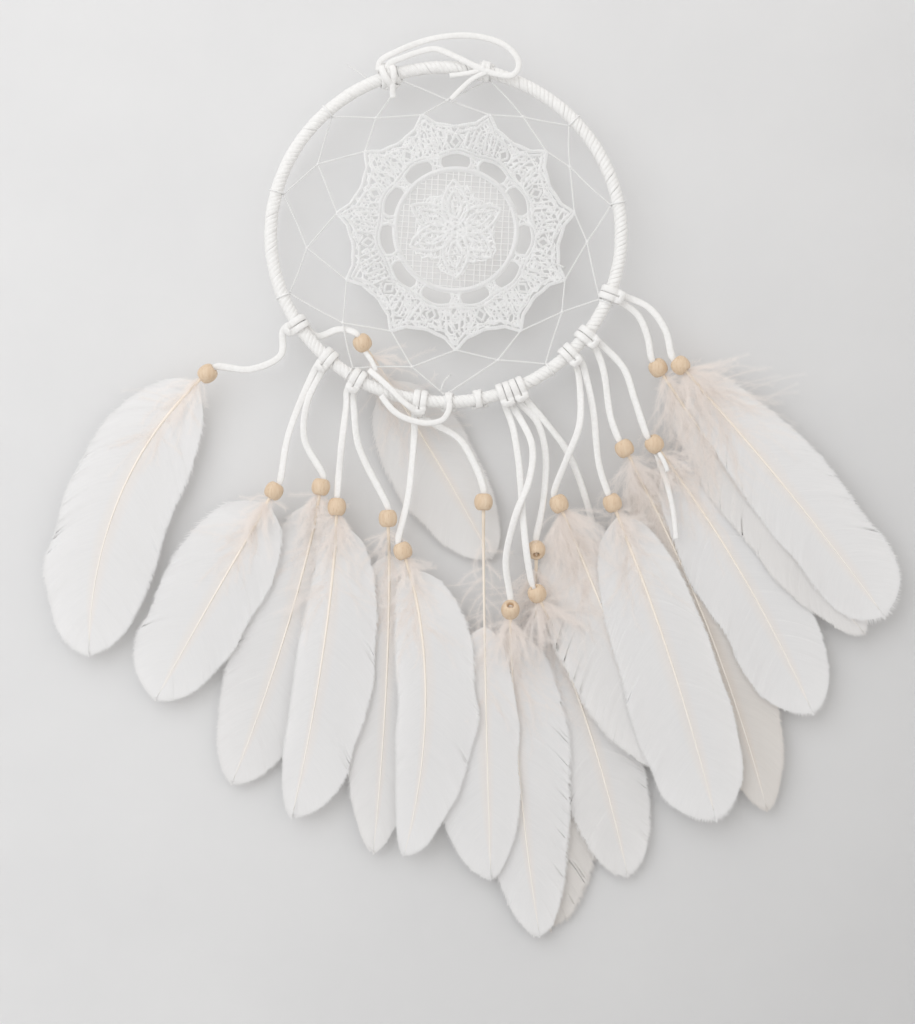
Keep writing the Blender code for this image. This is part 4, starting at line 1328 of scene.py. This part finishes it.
def feather_quill():
    """Horn-coloured shaft, clear and peachy at the quill, paler at the tip."""
    material, tree, shader = new_material("feather_quill")
    place, streaks = share_noise(tree, 6.0, 40.0)
    parts = node(tree, "ShaderNodeSeparateXYZ")
    tree.links.new(place.outputs["Vector"], parts.inputs["Vector"])
    colour = ramp(tree, parts.outputs["Y"], ((0.0, (0.93, 0.80, 0.65)), (0.35, (0.95, 0.87, 0.77)),
                                             (1.0, (0.97, 0.94, 0.90))))
    tree.links.new(colour, shader.inputs["Base Color"])
    tree.links.new(spread(tree, streaks, 0.3, 0.5), shader.inputs["Roughness"])
    shader.inputs["Subsurface Weight"].default_value = 0.0
    bump(tree, streaks, shader, 0.15, 0.05)
    return material


# -------------------------------------------------------------- stage

BACKDROP_GAP = 1.0
BACKDROP_WIDE, BACKDROP_TALL = 1400.0, 1200.0
FLOOR_LEVEL = -420.0
CAMERA_AWAY = 1088.0
CAMERA_PLACE = (5.2, -124.8)
# painted shade: how the wall's colour greys toward the lower right, per metre, standing for the light falling off
WALL_PAINTED_SHADE = (1.6, 0.0, -0.9)
LENS = 85.0
NET_LIGHT_DEPTH = 2.0


def one_sided_plaster():
    """Matt white wall seen only from its front, so it never hides the back; its colour carries a painted shade that
    greys it toward the lower right.
    """
    material, tree, shader = new_material("backdrop_plaster")
    place = mapped(tree, (1.0, 1.0, 1.0))
    grain = noise(tree, place, 12.0, 5.0)
    pale = ramp(tree, grain, ((0.3, (0.765, 0.765, 0.765)), (0.7, (0.795, 0.795, 0.793))))
    slope = node(tree, "ShaderNodeVectorMath", operation="DOT_PRODUCT")
    slope.inputs[1].default_value = WALL_PAINTED_SHADE
    tree.links.new(place, slope.inputs[0])
    # painted shade: the wall's colour darkens to 0.8 toward the lower right, standing for light falling off across it
    shade = ramp(tree, spread(tree, slope.outputs["Value"], 0.0, 1.0), ((0.0, (1.0, 1.0, 1.0)), (1.0, (0.8, 0.8, 0.8))))
    mix = node(tree, "ShaderNodeMix", data_type="RGBA", blend_type="MULTIPLY")
    mix.inputs["Factor"].default_value = 1.0
    tree.links.new(pale, mix.inputs["A"])
    tree.links.new(shade, mix.inputs["B"])
    tree.links.new(mix.outputs["Result"], shader.inputs["Base Color"])
    shader.inputs["Roughness"].default_value = 0.9
    shader.inputs["Specular IOR Level"].default_value = 0.1
    geometry = node(tree, "ShaderNodeNewGeometry")
    clear = node(tree, "ShaderNodeBsdfTransparent")
    both = node(tree, "ShaderNodeMixShader")
    tree.links.new(geometry.outputs["Backfacing"], both.inputs["Fac"])
    tree.links.new(shader.outputs["BSDF"], both.inputs[1])
    tree.links.new(clear.outputs["BSDF"], both.inputs[2])
    tree.links.new(both.outputs["Shader"], tree.nodes["Material Output"].inputs["Surface"])
    return material


def flat_sheet(name, corners, material):
    mesh = bpy.data.meshes.new(name)
    points = (np.array(corners, float) + HOOP_CENTRE) * MM
    mesh.from_pydata(points.tolist(), [], [(0, 1, 2, 3)])
    mesh.materials.append(material)
    sheet = bpy.data.objects.new(name, mesh)
    bpy.context.scene.collection.objects.link(sheet)


def stage():
    """A pale wall just behind the object and a pale floor below it."""
    wall = float(cad_box[1].y) / MM - HOOP_CENTRE[1] + BACKDROP_GAP
    plaster = one_sided_plaster()
    x, z = CAMERA_PLACE
    flat_sheet("backdrop", ((x - BACKDROP_WIDE, wall, FLOOR_LEVEL), (x + BACKDROP_WIDE, wall, FLOOR_LEVEL),
                            (x + BACKDROP_WIDE, wall, z + BACKDROP_TALL),
                            (x - BACKDROP_WIDE, wall, z + BACKDROP_TALL)), plaster)
    flat_sheet("floor", ((x - BACKDROP_WIDE, -BACKDROP_WIDE, FLOOR_LEVEL),
                         (x + BACKDROP_WIDE, -BACKDROP_WIDE, FLOOR_LEVEL),
                         (x + BACKDROP_WIDE, BACKDROP_WIDE, FLOOR_LEVEL),
                         (x - BACKDROP_WIDE, BACKDROP_WIDE, FLOOR_LEVEL)), plaster)


def area_light(name, place, target, size, power, colour, shape="SQUARE"):
    data = bpy.data.lights.new(name, "AREA")
    data.shape = shape
    data.energy = power
    data.size = size * MM
    data.color = colour
    lamp = bpy.data.objects.new(name, data)
    lamp.visible_camera = False
    bpy.context.scene.collection.objects.link(lamp)
    place, target = np.array(place), np.array(target)
    lamp.location = (place + HOOP_CENTRE) * MM
    lamp.rotation_mode = "QUATERNION"
    lamp.rotation_quaternion = Vector(target - place).to_track_quat("-Z", "Y")


def lights():
    middle = (CAMERA_PLACE[0], 0.0, CAMERA_PLACE[1])
    area_light("window", (-720.0, -1150.0, 560.0), middle, 1500.0, 8.0, (0.96, 0.99, 1.035))
    area_light("bounce", (1000.0, -1300.0, -500.0), middle, 1400.0, 2.6, (1.0, 0.94, 0.89))
    behind = np.array((0.0, NET_LIGHT_DEPTH, 0.0)) + (DOILY_CENTRE[0], 0.0, DOILY_CENTRE[2])
    area_light("net", behind, behind + (0.0, 10.0, 0.0), 2 * DOILY_BAND, 0.0038, (1.0, 0.975, 0.95), "DISK")
    world = bpy.data.worlds.new("room")
    world.use_nodes = True
    world.node_tree.nodes["Background"].inputs["Color"].default_value = (1.0, 0.98, 0.962, 1.0)
    world.node_tree.nodes["Background"].inputs["Strength"].default_value = 0.785
    bpy.context.scene.world = world


def camera():
    data = bpy.data.cameras.new("camera")
    data.lens = LENS
    data.sensor_width = 36.0
    data.clip_start = 0.01
    seen = bpy.data.objects.new("camera", data)
    bpy.context.scene.collection.objects.link(seen)
    x, z = CAMERA_PLACE
    seen.location = (np.array((x, -CAMERA_AWAY, z)) + HOOP_CENTRE) * MM
    seen.rotation_euler = (math.pi / 2, 0.0, 0.0)
    bpy.context.scene.camera = seen


# -------------------------------------------------------------- whole

def build():
    suede_white = suede()
    thread = cotton("web_thread_cotton", (0.94, 0.94, 0.93), (0.99, 0.99, 0.98), 2600.0)
    spun = cotton("crochet_cotton_spun", (0.97, 0.97, 0.965), (1.0, 1.0, 0.995), 2200.0)
    grain = wood()
    vane_white, down_white, quill_horn = feather_vane(), feather_down(), feather_quill()
    ring = frame["nodes"]["hoop_ring"]
    ring.data.materials.clear()
    ring.data.materials.append(steel())
    hoop_wrap(suede_white)
    loop_knot(suede_white)
    hanging_loop(suede_white)
    wrap_end(suede_white)
    web(thread)
    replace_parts(doily_net(spun), "doily")
    doily_flower(spun)
    doily_ring(spun)
    doily_star(spun)
    for cord, (left, right) in CORD_TAILS.items():
        knot(cord, suede_white)
        tail(cord, left, -STRAND_OFFSET, suede_white)
        tail(cord, right, STRAND_OFFSET, suede_white)
    spare_laces(suede_white)
    small_knots(suede_white)
    for number in PLUMES:
        bead(number, grain)
        feather(number, vane_white, down_white, quill_horn)
    stage()
    lights()
    camera()
    bpy.context.scene.view_settings.view_transform = "Standard"


build()
